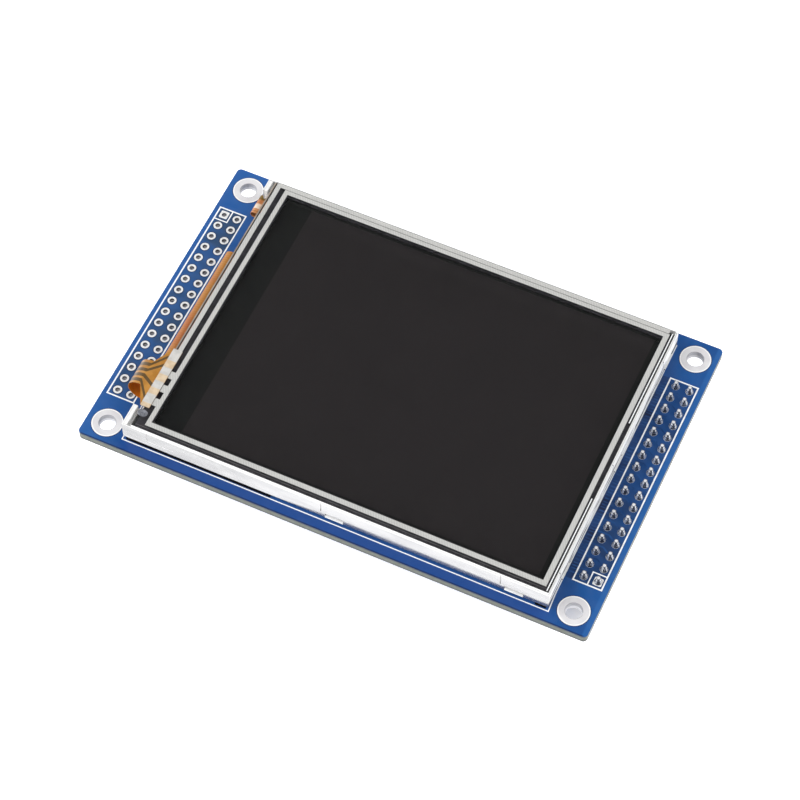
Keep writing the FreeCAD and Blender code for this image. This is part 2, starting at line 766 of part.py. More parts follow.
def folded_strip(body, bond_end, turn_x, top, thick, lower_end, front, back):
    """A flexible strip that runs left at one level, turns over and comes back on top of the board."""
    sketch = sketch_on(body, "XZ_Plane", -front)
    high = top + thick
    low = board_level
    middle = (high + low) / 2
    outer = (high - low) / 2
    inner = outer - thick
    runs = [
        ((bond_end, high), (turn_x, high)),
        ((turn_x, low), (lower_end, low)),
        ((lower_end, low), (lower_end, low + thick)),
        ((lower_end, low + thick), (turn_x, low + thick)),
        ((turn_x, top), (bond_end, top)),
        ((bond_end, top), (bond_end, high)),
    ]
    for start, end in runs:
        ends = [FreeCAD.Vector(x.value, z.value, 0) for x, z in (start, end)]
        line = sketch.addGeometry(Part.LineSegment(*ends), False)
        hold(sketch, line, 1, *start)
        hold(sketch, line, 2, *end)
    centre = FreeCAD.Vector(turn_x.value, middle.value, 0)
    quarter = 1.5707963267948966
    for radius, first_line, second_line in ((outer, (0, 2), (1, 1)), (inner, (4, 1), (3, 2))):
        whole = Part.Circle(centre, FreeCAD.Vector(0, 0, 1), radius.value)
        arc = sketch.addGeometry(Part.ArcOfCircle(whole, quarter, 3 * quarter), False)
        sketch.addConstraint(Sketcher.Constraint("Coincident", arc, 1, *first_line))
        sketch.addConstraint(Sketcher.Constraint("Coincident", arc, 2, *second_line))
        constrain(sketch, "DistanceX", -1, 1, arc, 3, size=turn_x)
    strip = pad(body, sketch, back - front)
    strip.Reversed = True
    return strip


def backlight_flex():
    """The strip over the diodes, with a tab that folds round the open side onto the board."""
    body = new_body("backlight_flex")
    left = size.guide_fit - well_x
    y = well_y - size.strip_margin
    thick = size.led_flex_thick
    outer = (film_level + thick - board_level) / 2
    turn_x = open_edge - size.led_tab_reach + outer
    folded_strip(
        body, left, turn_x, film_level, thick, open_edge + size.led_tab_under, led_tab_front, led_tab_back
    )
    add_block(body, left, left + size.strip_width, -y, y, film_level, film_level + thick)
    seat_display(body)
    return body


def diffuser_sheet():
    left = size.guide_fit + size.strip_width + size.film_fit - well_x
    y = well_y - size.film_fit
    return slab("diffuser_sheet", left, well_x - size.film_fit, -y, y, film_level, size.diffuser_thick)


def prism_sheets():
    """Two ridged sheets, crossed, above the diffuser."""
    x = well_x - size.film_fit
    y = well_y - size.film_fit
    lower = slab("lower_prism_sheet", -x, x, -y, y, lower_prism_level, size.prism_thick)
    upper = slab("upper_prism_sheet", -x, x, -y, y, upper_prism_level, size.prism_thick)
    return lower, upper


def frame_sheet(label, outside, inside, bottom, thick):
    """A flat frame between two rectangles, each given as left, right, front and back."""
    body = new_body(label)
    sketch = sketch_on(body, "XY_Plane", bottom)
    rectangle(sketch, *outside)
    rectangle(sketch, *inside)
    pad(body, sketch, thick)
    seat_display(body)
    return body


def rim_tape():
    x = pocket_x - size.film_fit
    y = pocket_y - size.film_fit
    inner_x = pocket_x - size.rim_tape_width
    inner_y = pocket_y - size.rim_tape_width
    outside = (-x, x, -y, y)
    inside = (-inner_x, inner_x, -inner_y, inner_y)
    return frame_sheet("rim_tape", outside, inside, ledge_level, size.rim_tape_thick)


def rear_polarizer():
    x = glass_x - size.rear_polarizer_inset
    y = glass_y - size.rear_polarizer_inset
    return slab("rear_polarizer", -x, x, -y, y, rear_polarizer_level, size.polarizer_thick)


def tft_glass():
    return slab("tft_glass", -glass_x, glass_x, -glass_y, glass_y, lower_glass_level, size.glass_thick)


def filter_glass():
    return slab(
        "filter_glass", upper_glass_left, glass_x, -glass_y, glass_y, upper_glass_level, size.glass_thick
    )


def front_polarizer():
    inset = size.front_polarizer_inset
    y = glass_y - inset
    return slab(
        "front_polarizer",
        upper_glass_left + inset,
        glass_x - inset,
        -y,
        y,
        front_polarizer_level,
        size.polarizer_thick,
    )


def driver_chip():
    half = size.chip_length / 2
    return slab(
        "driver_chip",
        chip_left,
        chip_left + size.chip_width,
        -half,
        half,
        upper_glass_level,
        size.chip_height,
    )


def display_flex():
    """The display's flexible circuit, from the lower glass round the open side onto the board."""
    body = new_body("display_flex")
    thick = size.flex_thick
    outer = (upper_glass_level + thick - board_level) / 2
    turn_x = -glass_x - size.flex_reach + outer
    folded_strip(
        body,
        flex_bond_end,
        turn_x,
        upper_glass_level,
        thick,
        size.flex_under - glass_x,
        flex_front,
        flex_back,
    )
    seat_display(body)
    return body


def touch_gasket():
    """Black foam between the display and the touch panel, seen as the dark margin round the screen."""
    edge = size.gasket_inset
    reveal = size.gasket_reveal
    outside = (touch_left + size.gasket_inset_left, touch_right - edge, edge - touch_y, touch_y - edge)
    inside = (view_left - reveal, view_right + reveal, view_front - reveal, view_back + reveal)
    return frame_sheet("touch_gasket", outside, inside, rim_level, size.gasket_thick)


def touch_glass():
    return slab(
        "touch_glass", touch_left, touch_right, -touch_y, touch_y, touch_glass_level, size.touch_glass_thick
    )


def silver_electrodes():
    """The printed ring with its links to the flex bond, and the outer lead round two sides."""
    body = new_body("silver_electrodes")
    sketch = sketch_on(body, "XY_Plane", silver_level)
    link_end = bond_right + size.bond_fit
    corners = [(ring_left, ring_front), (ring_right, ring_front), (ring_right, ring_back), (ring_left, ring_back)]
    for place in reversed(range(int(size.link_count.value))):
        front = size.link_first + size.link_pitch * place - touch_y
        back = front + size.link_width
        corners += [(ring_left, back), (link_end, back), (link_end, front), (ring_left, front)]
    outline(sketch, corners)
    rectangle(sketch, view_left, view_right, view_front, view_back)

    lead_left = touch_left + size.lead_margin
    lead_back = touch_y - size.lead_back_margin
    lead_right = touch_right - size.lead_end
    band = size.silver_band
    outline(
        sketch,
        [
            (lead_left, bond_back + size.bond_fit),
            (lead_left + band, bond_back + size.bond_fit),
            (lead_left + band, lead_back - band),
            (lead_right, lead_back - band),
            (lead_right, lead_back),
            (lead_left, lead_back),
        ],
    )
    pad(body, sketch, size.silver_thick)
    seat_display(body)
    return body


def touch_film():
    """The panel's flexible top sheet, cut away over the flex bond."""
    body = new_body("touch_film")
    inset = size.touch_film_inset
    left = touch_left + inset
    right = touch_right - inset
    y = touch_y - inset
    add_block(body, left, right, -y, y, touch_film_level, touch_film_level + size.touch_film_thick)
    cut_block(
        body,
        left,
        bond_right + size.bond_fit,
        bond_front - size.bond_fit,
        bond_back + size.bond_fit,
        touch_film_level,
        touch_film_level + size.touch_film_thick,
    )
    seat_display(body)
    return body


def touch_flex():
    """The touch panel's tail: it narrows as it leaves the glass and rolls over onto the board."""
    body = new_body("touch_flex")
    thick = size.tail_thick
    outer = (silver_level + thick - board_level) / 2
    far = touch_left - size.tail_reach
    lower_end = touch_left + size.tail_under
    folded_strip(
        body, bond_right, far + outer, silver_level, thick, lower_end, bond_front, bond_back
    )
    neck_end = touch_left - size.neck_length
    trim = sketch_on(body, "XY_Plane", board_level)
    for edge, narrow in ((bond_front, tail_front), (bond_back, tail_back)):
        outline(trim, [(touch_left, edge), (neck_end, narrow), (far, narrow), (far, edge)])
    pocket(body, trim, silver_level + thick - board_level)
    middle = (silver_level + board_level) / 2
    cut_block(body, neck_end, lower_end, bond_front, tail_front, board_level, middle)
    cut_block(body, neck_end, lower_end, tail_back, bond_back, board_level, middle)
    seat_display(body)
    return body


def touch_flex_seal():
    return slab(
        "touch_flex_seal",
        touch_left,
        bond_right,
        bond_front,
        bond_back,
        silver_level + size.tail_thick,
        size.bond_seal,
    )


def package(label, width, length, height, x, y):
    """A moulded package on the board's back face, with sloped upper edges."""
    body = new_body(label)
    lift = size.package_lift
    block = add_block(body, -width / 2, width / 2, -length / 2, length / 2, -lift - height, -lift)
    dress(body, "Chamfer", block, lowest_of(block), Size=size.package_slope)
    move(body, x, y, 0)
    return body


def gull_wing(body, package_width, spread, foot, side, width, front, level):
    """A lead that leaves the package's side, drops to the board and ends in a foot."""
    thick = size.lead_thick
    inner = package_width / 2
    outer = inner + spread
    knee = outer - foot
    profile = [
        (inner, -level),
        (knee, -level),
        (knee, -thick),
        (outer, -thick),
        (outer, 0),
        (knee - thick, 0),
        (knee - thick, thick - level),
        (inner, thick - level),
    ]
    sketch = sketch_on(body, "XZ_Plane", -front)
    outline(sketch, [(x * side, z) for x, z in profile])
    lead = pad(body, sketch, width)
    lead.Reversed = True
    return lead


def touch_controller():
    body = package(
        "controller_body",
        size.controller_width,
        size.controller_length,
        size.controller_height,
        size.controller_x,
        size.controller_y,
    )
    leads = new_body("controller_leads")
    first = -((size.leads_a_side - 1) * size.lead_pitch + size.lead_width) / 2
    level = size.package_lift + size.controller_height / 2
    gull_wing(
        leads, size.controller_width, size.lead_spread, size.lead_foot, 1, size.lead_width, first, level
    )
    repeat(leads, [], "Y_Axis", size.lead_pitch, size.leads_a_side)
    mirror(leads, [], "YZ_Plane")
    move(leads, size.controller_x, size.controller_y, 0)
    return body, leads


def backlight_transistor():
    body = package(
        "transistor_body",
        size.transistor_width,
        size.transistor_length,
        size.transistor_height,
        size.transistor_x,
        size.transistor_y,
    )
    leads = new_body("transistor_leads")
    width = size.transistor_width
    foot = size.transistor_foot
    lead = size.transistor_lead
    spread = size.transistor_spread
    level = size.package_lift + size.transistor_height / 2
    gull_wing(leads, width, spread, foot, 1, lead, -size.transistor_pitch - lead / 2, level)
    repeat(leads, [], "Y_Axis", size.transistor_pitch * 2, 2)
    gull_wing(leads, width, spread, foot, -1, lead, -lead / 2, level)
    move(leads, size.transistor_x, size.transistor_y, 0)
    return body, leads


def chip_parts(name, height, count, pitch, x, y):
    """A column of chip parts: their bodies in one piece list, their metal ends in another."""
    half_x = size.chip_part_length / 2
    half_y = size.chip_part_width / 2
    inner = half_x - size.chip_part_end
    bodies = new_body(f"{name}_bodies")
    add_block(bodies, -inner, inner, -half_y, half_y, -height, 0)
    ends = new_body(f"{name}_ends")
    sketch = sketch_on(ends, "XY_Plane", -height)
    rectangle(sketch, -half_x, -inner, -half_y, half_y)
    rectangle(sketch, inner, half_x, -half_y, half_y)
    pad(ends, sketch, height)
    for item in (bodies, ends):
        repeat(item, [], "Y_Axis", pitch, count)
        move(item, x, y, 0)
    return bodies, ends


def chip_resistors():
    return chip_parts(
        "resistor",
        size.resistor_height,
        size.resistor_count,
        size.resistor_pitch,
        size.resistor_x,
        size.resistor_y,
    )


def chip_capacitors():
    return chip_parts(
        "capacitor",
        size.capacitor_height,
        size.capacitor_count,
        size.capacitor_pitch,
        size.capacitor_x,
        size.capacitor_y,
    )


BUILDERS = [
    circuit_board,
    mounting_rings,
    header_pins,
    header_insulator,
    solder_joints,
    mounting_tape,
    metal_frame,
    light_frame,
    reflector_sheet,
    light_guide,
    backlight_leds,
    backlight_flex,
    diffuser_sheet,
    prism_sheets,
    rim_tape,
    rear_polarizer,
    tft_glass,
    filter_glass,
    front_polarizer,
    driver_chip,
    display_flex,
    touch_gasket,
    touch_glass,
    silver_electrodes,
    touch_film,
    touch_flex,
    touch_flex_seal,
    touch_controller,
    backlight_transistor,
    chip_resistors,
    chip_capacitors,
]


def check_features():
    """Stops where a feature failed or a cut took nothing away."""
    for item in doc.Objects:
        if {"Invalid", "Error"} & set(item.State):
            raise RuntimeError(f"{item.Name} failed: {item.State}")
        if item.TypeId == "PartDesign::Pocket":
            before = item.BaseFeature.Shape.Volume
            if item.Shape.Volume > before - 1e-6:
                raise RuntimeError(f"{item.Name} in {item.getParent().Label} cuts nothing")


def export(item):
    """Writes one sub-part under its label."""
    shape = item.Shape
    if shape.isNull() or not shape.isValid() or not shape.Solids:
        raise RuntimeError(f"{item.Label} is not a valid solid")
    shape.exportStep(f"parts/{item.Label}.step")
    print(f"{item.Label}: {len(shape.Solids)} solids, {shape.Volume:.3f} mm3")


def main():
    os.makedirs("parts", exist_ok=True)
    made = []
    for build in BUILDERS:
        result = build()
        made += result if isinstance(result, tuple) else [result]
    doc.recompute()
    check_features()
    for item in made:
        export(item)


main()
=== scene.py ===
"""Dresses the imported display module: finishes for every node, and its print, pads, traces and solder."""

import json
import math

import bmesh
import bpy
from mathutils import Matrix, Vector


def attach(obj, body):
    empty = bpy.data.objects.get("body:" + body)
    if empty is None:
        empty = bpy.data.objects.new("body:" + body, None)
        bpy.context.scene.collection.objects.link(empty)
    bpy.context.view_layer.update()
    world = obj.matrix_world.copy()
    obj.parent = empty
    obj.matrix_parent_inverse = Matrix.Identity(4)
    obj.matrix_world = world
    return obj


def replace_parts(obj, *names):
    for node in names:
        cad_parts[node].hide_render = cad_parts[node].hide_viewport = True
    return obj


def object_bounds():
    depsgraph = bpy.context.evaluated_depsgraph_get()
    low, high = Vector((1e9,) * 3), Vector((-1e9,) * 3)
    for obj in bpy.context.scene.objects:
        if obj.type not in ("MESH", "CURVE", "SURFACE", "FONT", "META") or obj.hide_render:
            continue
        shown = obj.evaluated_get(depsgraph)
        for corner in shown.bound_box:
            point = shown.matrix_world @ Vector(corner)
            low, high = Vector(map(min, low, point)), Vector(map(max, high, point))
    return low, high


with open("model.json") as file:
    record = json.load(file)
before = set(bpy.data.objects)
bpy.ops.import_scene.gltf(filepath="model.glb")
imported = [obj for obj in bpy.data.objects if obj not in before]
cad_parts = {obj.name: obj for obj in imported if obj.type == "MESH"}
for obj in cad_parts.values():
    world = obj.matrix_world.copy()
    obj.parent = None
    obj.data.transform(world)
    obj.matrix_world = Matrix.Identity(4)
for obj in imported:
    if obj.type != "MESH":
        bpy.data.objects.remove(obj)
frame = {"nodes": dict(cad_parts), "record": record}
cad_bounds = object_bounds()

# Measures are in millimetres, and MM turns them into metres
MM = 0.001
BOARD_TOP = 1.6
HEADER_PITCH = 2.54
HEADER_ROWS = 17
HEADER_X = 43.45
HEADER_END = HEADER_ROWS * HEADER_PITCH / 2
FIRST_ROW = -(HEADER_ROWS - 1) / 2 * HEADER_PITCH
MOUNT_X, MOUNT_Y = 43.2, 26.95

# Thicknesses of print, of copper under the mask, of tin on lands and pins' pads, and of tin on open pads
PRINT = 0.02
TRACE = 0.018
TIN = 0.03
PROUD_TIN = 0.035

# Radii of the open header's holes and of the small plated holes, half the side of a square pad,
# and where the traces start beside the display
HOLE = 0.44
VIA_PAD, VIA_HOLE = 0.32, 0.12
FIRST_PAD_HALF = 0.78
TRACE_START = 39.6

# Within the thickness of the tray's walls: what lies further in is the moulding's own side
WALL_X, WALL_Y = 39.1, 28.3

# The picture area, the heights of a line between glass and film, the axis of the tail's roll,
# and where the resistors and capacitors on the back end in X
PICTURE = (-29.65, 36.0, -24.95, 25.5)
UNDER_FILM = (6.55, 6.59)
TAIL_AXIS_X, TAIL_AXIS_Z = -39.975, 4.125
SMALL_PART_ENDS = (-12.75, -11.25)

WHITE = (1.0, 1.0, 1.0, 1.0)
MAP_LIMITS = ("From Min", "From Max", "To Min", "To Max")


def rgb(red, green, blue):
    """A linear colour from the usual 0 to 255 values."""
    return tuple(
        (part / 255 / 12.92 if part / 255 <= 0.04045 else ((part / 255 + 0.055) / 1.055) ** 2.4)
        for part in (red, green, blue)
    ) + (1.0,)


class Look:
    """One material: a principled shader and the nodes that feed it, in the part's own millimetres."""

    def __init__(self, name, **sockets):
        self.material = bpy.data.materials.new(name)
        self.material.use_nodes = True
        self.tree = self.material.node_tree
        self.shader = self.tree.nodes["Principled BSDF"]
        for socket, value in sockets.items():
            self.shader.inputs[socket.replace("_", " ").title().replace("Ior", "IOR")].default_value = value
        source = self.tree.nodes.new("ShaderNodeTexCoord").outputs["Object"]
        self.place = self.vector("SCALE", source, scale=1 / MM)
        split = self.tree.nodes.new("ShaderNodeSeparateXYZ")
        self.tree.links.new(self.place, split.inputs[0])
        self.x, self.y, self.z = split.outputs
        facing = self.tree.nodes.new("ShaderNodeNewGeometry").outputs["Normal"]
        split = self.tree.nodes.new("ShaderNodeSeparateXYZ")
        self.tree.links.new(facing, split.inputs[0])
        self.normal_x, self.normal_y, self.normal_z = split.outputs

    def feed(self, socket, value):
        """Sets a socket to a number or colour, or links it to another socket."""
        if isinstance(value, bpy.types.NodeSocket):
            self.tree.links.new(value, socket)
        else:
            socket.default_value = value

    def vector(self, operation, first, second=(0.0, 0.0, 0.0), scale=1.0):
        """A vector sum, product or the like."""
        node = self.tree.nodes.new("ShaderNodeVectorMath")
        node.operation = operation
        self.feed(node.inputs[0], first)
        if operation == "SCALE":
            node.inputs["Scale"].default_value = scale
        else:
            self.feed(node.inputs[1], second)
        return node.outputs["Value" if operation == "DOT_PRODUCT" else "Vector"]

    def math(self, operation, *values):
        """A sum, product or comparison of numbers and sockets."""
        node = self.tree.nodes.new("ShaderNodeMath")
        node.operation = operation
        for socket, value in zip(node.inputs, values):
            self.feed(socket, value)
        return node.outputs[0]

    def step(self, value, low, high, to_low=0.0, to_high=1.0, shape="SMOOTHSTEP"):
        """A rise between two limits, smooth unless the shape says otherwise."""
        node = self.tree.nodes.new("ShaderNodeMapRange")
        node.interpolation_type = shape
        self.feed(node.inputs["Value"], value)
        for socket, number in zip(MAP_LIMITS, (low, high, to_low, to_high)):
            node.inputs[socket].default_value = number
        return node.outputs["Result"]

    def within(self, value, low, high):
        """One between two limits, and nothing outside."""
        return self.math("COMPARE", value, (low + high) / 2, (high - low) / 2)

    def area(self, x_low, x_high, y_low, y_high):
        """One inside a rectangle seen from above."""
        return self.math("MULTIPLY", self.within(self.x, x_low, x_high), self.within(self.y, y_low, y_high))

    def any_of(self, values):
        """The largest of several values."""
        largest = values[0]
        for value in values[1:]:
            largest = self.math("MAXIMUM", largest, value)
        return largest

    def upright(self, normal):
        """One where a part of the surface normal is near 1 or -1."""
        return self.step(self.math("ABSOLUTE", normal), 0.5, 0.7)

    def span(self, x, y):
        """The length of a flat vector."""
        return self.math("SQRT", self.math("ADD", self.math("MULTIPLY", x, x), self.math("MULTIPLY", y, y)))

    def from_pad(self):
        """How far a point lies from the middle of the nearest header hole, along X and along Y."""
        first = self.math("SUBTRACT", self.math("ABSOLUTE", self.x), HEADER_X - HEADER_PITCH / 2)
        half = HEADER_PITCH / 2
        return self.math("WRAP", first, half, -half), self.math("WRAP", self.y, half, -half)

    def noise(self, size, detail=2.0, stretch=(1.0, 1.0, 1.0)):
        """Noise whose patches are about that many millimetres across."""
        node = self.tree.nodes.new("ShaderNodeTexNoise")
        self.feed(node.inputs["Vector"], self.vector("MULTIPLY", self.place, stretch))
        node.inputs["Scale"].default_value = 1 / size
        node.inputs["Detail"].default_value = detail
        return node.outputs["Fac"]

    def wave(self, direction, pitch):
        """A sine along a direction, from 0 to 1, that repeats after that many millimetres."""
        along = self.vector("DOT_PRODUCT", self.place, tuple(Vector(direction).normalized()))
        turn = self.math("MULTIPLY", along, math.tau / pitch)
        return self.math("MULTIPLY_ADD", self.math("SINE", turn), 0.5, 0.5)

    def mix(self, factor, first, second):
        """A blend of two colours."""
        node = self.tree.nodes.new("ShaderNodeMix")
        node.data_type = "RGBA"
        for place, value in ((0, factor), (6, first), (7, second)):
            self.feed(node.inputs[place], value)
        return node.outputs[2]

    def tones(self, size, dark, light, stretch=(1.0, 1.0, 1.0)):
        """Two close tones in soft patches."""
        return self.mix(self.step(self.noise(size, 3.0, stretch), 0.35, 0.65), rgb(*dark), rgb(*light))

    def colour(self, value):
        """Gives the surface its colour."""
        self.feed(self.shader.inputs["Base Color"], value)
        return self

    def rough(self, low, high, size=0.6, stretch=(1.0, 1.0, 1.0)):
        """Roughness that wanders between two values."""
        spread = self.step(self.noise(size, 3.0, stretch), 0.3, 0.7, low, high)
        self.feed(self.shader.inputs["Roughness"], spread)
        return self

    def bump(self, *layers):
        """Relief from pairs of a height and the millimetres that one unit of it stands for."""
        normal = None
        for height, depth in layers:
            node = self.tree.nodes.new("ShaderNodeBump")
            node.inputs["Distance"].default_value = depth * MM
            self.feed(node.inputs["Height"], height)
            if normal is not None:
                self.feed(node.inputs["Normal"], normal)
            normal = node.outputs[0]
        self.feed(self.shader.inputs["Normal"], normal)
        return self


def mottled(name, dark, light, size, rough, grain=(0.08, 0.004), stretch=(1.0, 1.0, 1.0), **sockets):
    """A finish of two close tones, with wandering gloss and fine grain."""
    look = Look(name, **sockets)
    look.colour(look.tones(size, dark, light, stretch))
    look.rough(*rough, size=size * 0.7, stretch=stretch)
    return look.bump((look.noise(grain[0], 3.0, stretch), grain[1]))


def solder_mask():
    """Blue solder mask over copper, bare laminate with its glass layers on the cut edges."""
    look = Look("solder_mask", coat_weight=0.12, coat_roughness=0.15)
    blue = look.tones(9.0, (22, 74, 138), (30, 84, 150))
    # Towards the left end, and more so at the back, the blue is painted lighter: painted light from the lamp
    # on the left
    corner = look.step(look.math("ADD", look.x, look.math("MULTIPLY", look.y, -0.3)), -24.0, -46.0)
    blue = look.mix(look.math("MULTIPLY", corner, 0.6), blue, rgb(48, 98, 166))
    speck = look.step(look.noise(0.35, 4.0), 0.55, 0.8)
    blue = look.mix(look.math("MULTIPLY", speck, 0.2), blue, rgb(46, 98, 158))
    across = look.math("ABSOLUTE", look.x)
    along = look.math("ABSOLUTE", look.y)
    # In front of the tray's front wall the mask is painted darker: painted shade
    front = look.math("MULTIPLY", look.step(look.y, -28.4, -28.9), look.step(across, 41.5, 37.5))
    blue = look.mix(look.math("MULTIPLY", front, 0.85), blue, rgb(4, 62, 134))
    blue = look.mix(look.step(look.x, 45.9, 46.3, 0.0, 0.8), blue, rgb(40, 96, 162))

    # Beside the tray and round the soldered pins, the mask is painted darker in patches: painted shade.
    # Under the open header it is greyer in patches
    traces, pins, open_holes = (39.2, 40.8), (40.8, 45.9), (-45.9, -40.9)
    patch = look.step(look.noise(5.0, 2.0, (0.6, 1.0, 1.0)), 0.42, 0.6, 0.4, 0.95)
    for ends, tone in ((traces, (0, 20, 60)), (pins, (28, 60, 106)), (open_holes, (48, 74, 108))):
        field = look.area(*ends, -HEADER_END, HEADER_END)
        blue = look.mix(look.math("MULTIPLY", field, patch), blue, rgb(*tone))

    # The mask stops a little short of the open pads and the corner rings, which leaves thin dark lines,
    # darkened further as painted shade
    near_pad = look.within(look.span(*look.from_pad()), 0.7, 0.93)
    pad = look.math("MULTIPLY", near_pad, look.area(*open_holes, -HEADER_END, HEADER_END))
    mount = look.span(look.math("SUBTRACT", across, MOUNT_X), look.math("SUBTRACT", along, MOUNT_Y))
    line = look.math("MAXIMUM", pad, look.within(mount, 2.7, 2.88))
    blue = look.mix(look.math("MULTIPLY", line, 0.75), blue, rgb(10, 26, 62))

    # The board's front upper edge is a dark line
    edge = look.math("MINIMUM", look.step(look.y, -30.4, -30.6), look.step(across, 46.6, 46.2))
    blue = look.mix(look.math("MULTIPLY", edge, 0.75), blue, rgb(0, 26, 66))

    layers = look.wave((0.0, 0.0, 1.0), 0.36)
    streak = look.step(look.noise(1.1, 4.0, (1.0, 1.0, 4.0)), 0.45, 0.62)
    laminate = look.mix(look.math("MULTIPLY", layers, 0.5), rgb(80, 90, 79), rgb(67, 76, 65))
    laminate = look.mix(look.math("MULTIPLY", streak, 0.6), laminate, rgb(68, 63, 48))
    laminate = look.mix(look.step(look.z, 0.15, 0.75, 0.85, 0.0), laminate, rgb(26, 33, 30))
    laminate = look.mix(look.step(look.z, 1.24, 1.38), laminate, rgb(6, 32, 54))
    look.colour(look.mix(look.upright(look.normal_z), laminate, blue))
    look.rough(0.3, 0.45, 1.4)
    return look.bump((look.noise(0.25, 3.0), 0.003), (look.noise(3.5, 1.0), 0.01))


def covered_copper():
    """Traces under the mask: near the board's own blue on the front, a lighter blue on the back."""
    look = Look("covered_copper")
    front = look.tones(2.4, (18, 56, 108), (34, 80, 140))
    back = look.tones(2.4, (44, 98, 164), (56, 110, 176))
    look.colour(look.mix(look.step(look.z, 0.4, 0.8), back, front))
    look.rough(0.28, 0.42)
    return look.bump((look.noise(0.2), 0.003))


def tray_steel():
    """Bright rolled sheet: mirror-like long walls, satin edges and ends, and painted shade in grey streaks
    down the right one.
    """
    look = Look("tray_steel")
    long_wall = look.upright(look.normal_y)
    wall = look.tones(3.0, (186, 186, 188), (199, 199, 200), (0.4, 1.0, 1.0))
    # Grey streaks low down the right wall: painted shade
    shade_streaks = look.step(look.noise(0.9, 3.0, (1.0, 0.14, 1.6)), 0.44, 0.54)
    shade_streaks = look.math("MULTIPLY", shade_streaks, look.step(look.z, 5.0, 4.1))
    shade_streaks = look.math("MULTIPLY", shade_streaks, look.step(look.normal_x, 0.5, 0.7))
    satin = look.mix(shade_streaks, rgb(254, 254, 254), rgb(104, 104, 108))
    look.colour(look.mix(long_wall, satin, wall))
    look.feed(look.shader.inputs["Metallic"], look.math("MULTIPLY_ADD", long_wall, 0.82, 0.1))
    look.rough(0.16, 0.26, 2.0, (0.3, 1.0, 1.0))

    # The long walls are shaded as if they leaned back a little, more so towards the left
    lean = look.math("MULTIPLY", look.z, look.step(look.x, -22.0, 4.0, -0.6, -0.24))
    scratch = look.noise(0.10, 3.0, (0.25, 0.25, 2.0))
    return look.bump((scratch, 0.0006), (look.noise(4.0, 1.0, (0.6, 1.0, 1.0)), 0.03), (lean, 1.0))


def white_moulding():
    """White plastic, in shadow where its sides show through the tray's latch windows."""
    look = Look("white_moulding")
    in_x = look.step(look.x, WALL_X + 0.02, WALL_X - 0.02)
    in_y = look.step(look.math("ABSOLUTE", look.y), WALL_Y + 0.02, WALL_Y - 0.02)
    x_side = look.math("MULTIPLY", look.upright(look.normal_x), in_x)
    y_side = look.math("MULTIPLY", look.upright(look.normal_y), in_y)
    hidden = look.math("MULTIPLY", look.math("MAXIMUM", x_side, y_side), look.step(look.z, 3.7, 3.5))
    white = look.tones(2.0, (240, 240, 238), (248, 248, 247))
    look.colour(look.mix(hidden, white, rgb(58, 60, 68)))
    look.rough(0.35, 0.5)
    return look.bump((look.noise(0.2), 0.003))


def silver_ink():
    """Printed silver with the fine diagonal hatch of its screen, and a painted shadow line along its inner
    front edge.
    """
    look = Look("silver_ink", metallic=0.15)
    hatch = look.step(look.wave((1.0, 0.55, 0.0), 0.42), 0.3, 0.7)
    tone = look.mix(hatch, rgb(193, 193, 190), rgb(204, 204, 201))
    tone = look.mix(look.step(look.noise(6.0, 3.0), 0.3, 0.7, 0.0, 0.5), tone, rgb(209, 208, 205))
    # A dark line along the inner front edge: painted shadow
    inner_shadow = look.area(-34.6, 37.25, -26.3, -26.0)
    look.colour(look.mix(inner_shadow, tone, rgb(22, 22, 22)))
    look.rough(0.45, 0.6)
    return look.bump((hatch, 0.003), (look.noise(0.12, 3.0), 0.003))


def screen():
    """The dark top polarizer: black rim, and a shade lighter in the picture area with its grid of lines."""
    look = Look("screen_polarizer", specular_ior_level=0.3)
    picture = look.area(*PICTURE)
    grid = look.math("MULTIPLY", look.wave((1.0, 0.0, 0.0), 0.21), look.wave((0.0, 1.0, 0.0), 0.21))
    lit = look.mix(grid, rgb(43, 40, 41), rgb(45, 42, 43))
    rim = look.tones(6.0, (29, 30, 30), (31, 32, 31))
    tone = look.mix(picture, rim, lit)

    # Both are painted a little paler along the back: painted light against the shade that falls there
    painted_light = look.mix(picture, rgb(38, 39, 39), rgb(56, 53, 54))
    look.colour(look.mix(look.step(look.y, 22.0, 26.0, 0.0, 0.6), tone, painted_light))
    look.rough(0.22, 0.26, 9.0)
    return look.bump((look.noise(2.5, 1.0), 0.0006))


def clear_sheet(name, tint, alpha, wave_depth):
    """A clear sheet: a faint mirror, with a slow waviness."""
    look = Look(name, metallic=1.0, alpha=alpha)
    look.colour(look.tones(8.0, tint, (246, 248, 250)))
    look.rough(0.03, 0.08, 5.0)
    return look.bump((look.noise(7.0, 1.0), wave_depth))


def touch_tail():
    """Amber film with four dark conductors that fan out towards the glass."""
    look = Look("amber_flex", coat_weight=0.3, coat_roughness=0.15)
    amber = look.tones(2.4, (164, 112, 44), (188, 134, 62))
    spread = look.step(look.x, -40.1, -37.9, shape="LINEAR")
    lines = []
    for narrow, wide in ((-16.15, -13.3), (-17.35, -15.2), (-18.45, -19.7), (-19.55, -22.4)):
        middle = look.math("MULTIPLY_ADD", spread, wide - narrow, narrow)
        lines.append(look.math("COMPARE", look.y, middle, 0.34))
    stripes = look.any_of(lines)
    film = look.mix(look.math("MULTIPLY", stripes, 0.9), amber, rgb(76, 62, 38))

    # Light shines through the film from behind, so the inside of the roll is a deeper orange
    outward_x = look.math("MULTIPLY", look.math("SUBTRACT", look.x, TAIL_AXIS_X), look.normal_x)
    outward_z = look.math("MULTIPLY", look.math("SUBTRACT", look.z, TAIL_AXIS_Z), look.normal_z)
    inside = look.step(look.math("ADD", outward_x, outward_z), -0.3, -0.8)
    look.colour(look.mix(inside, film, rgb(222, 120, 22)))
    look.rough(0.3, 0.45, 1.0)
    return look.bump((stripes, 0.01), (look.noise(0.3, 2.0), 0.003))


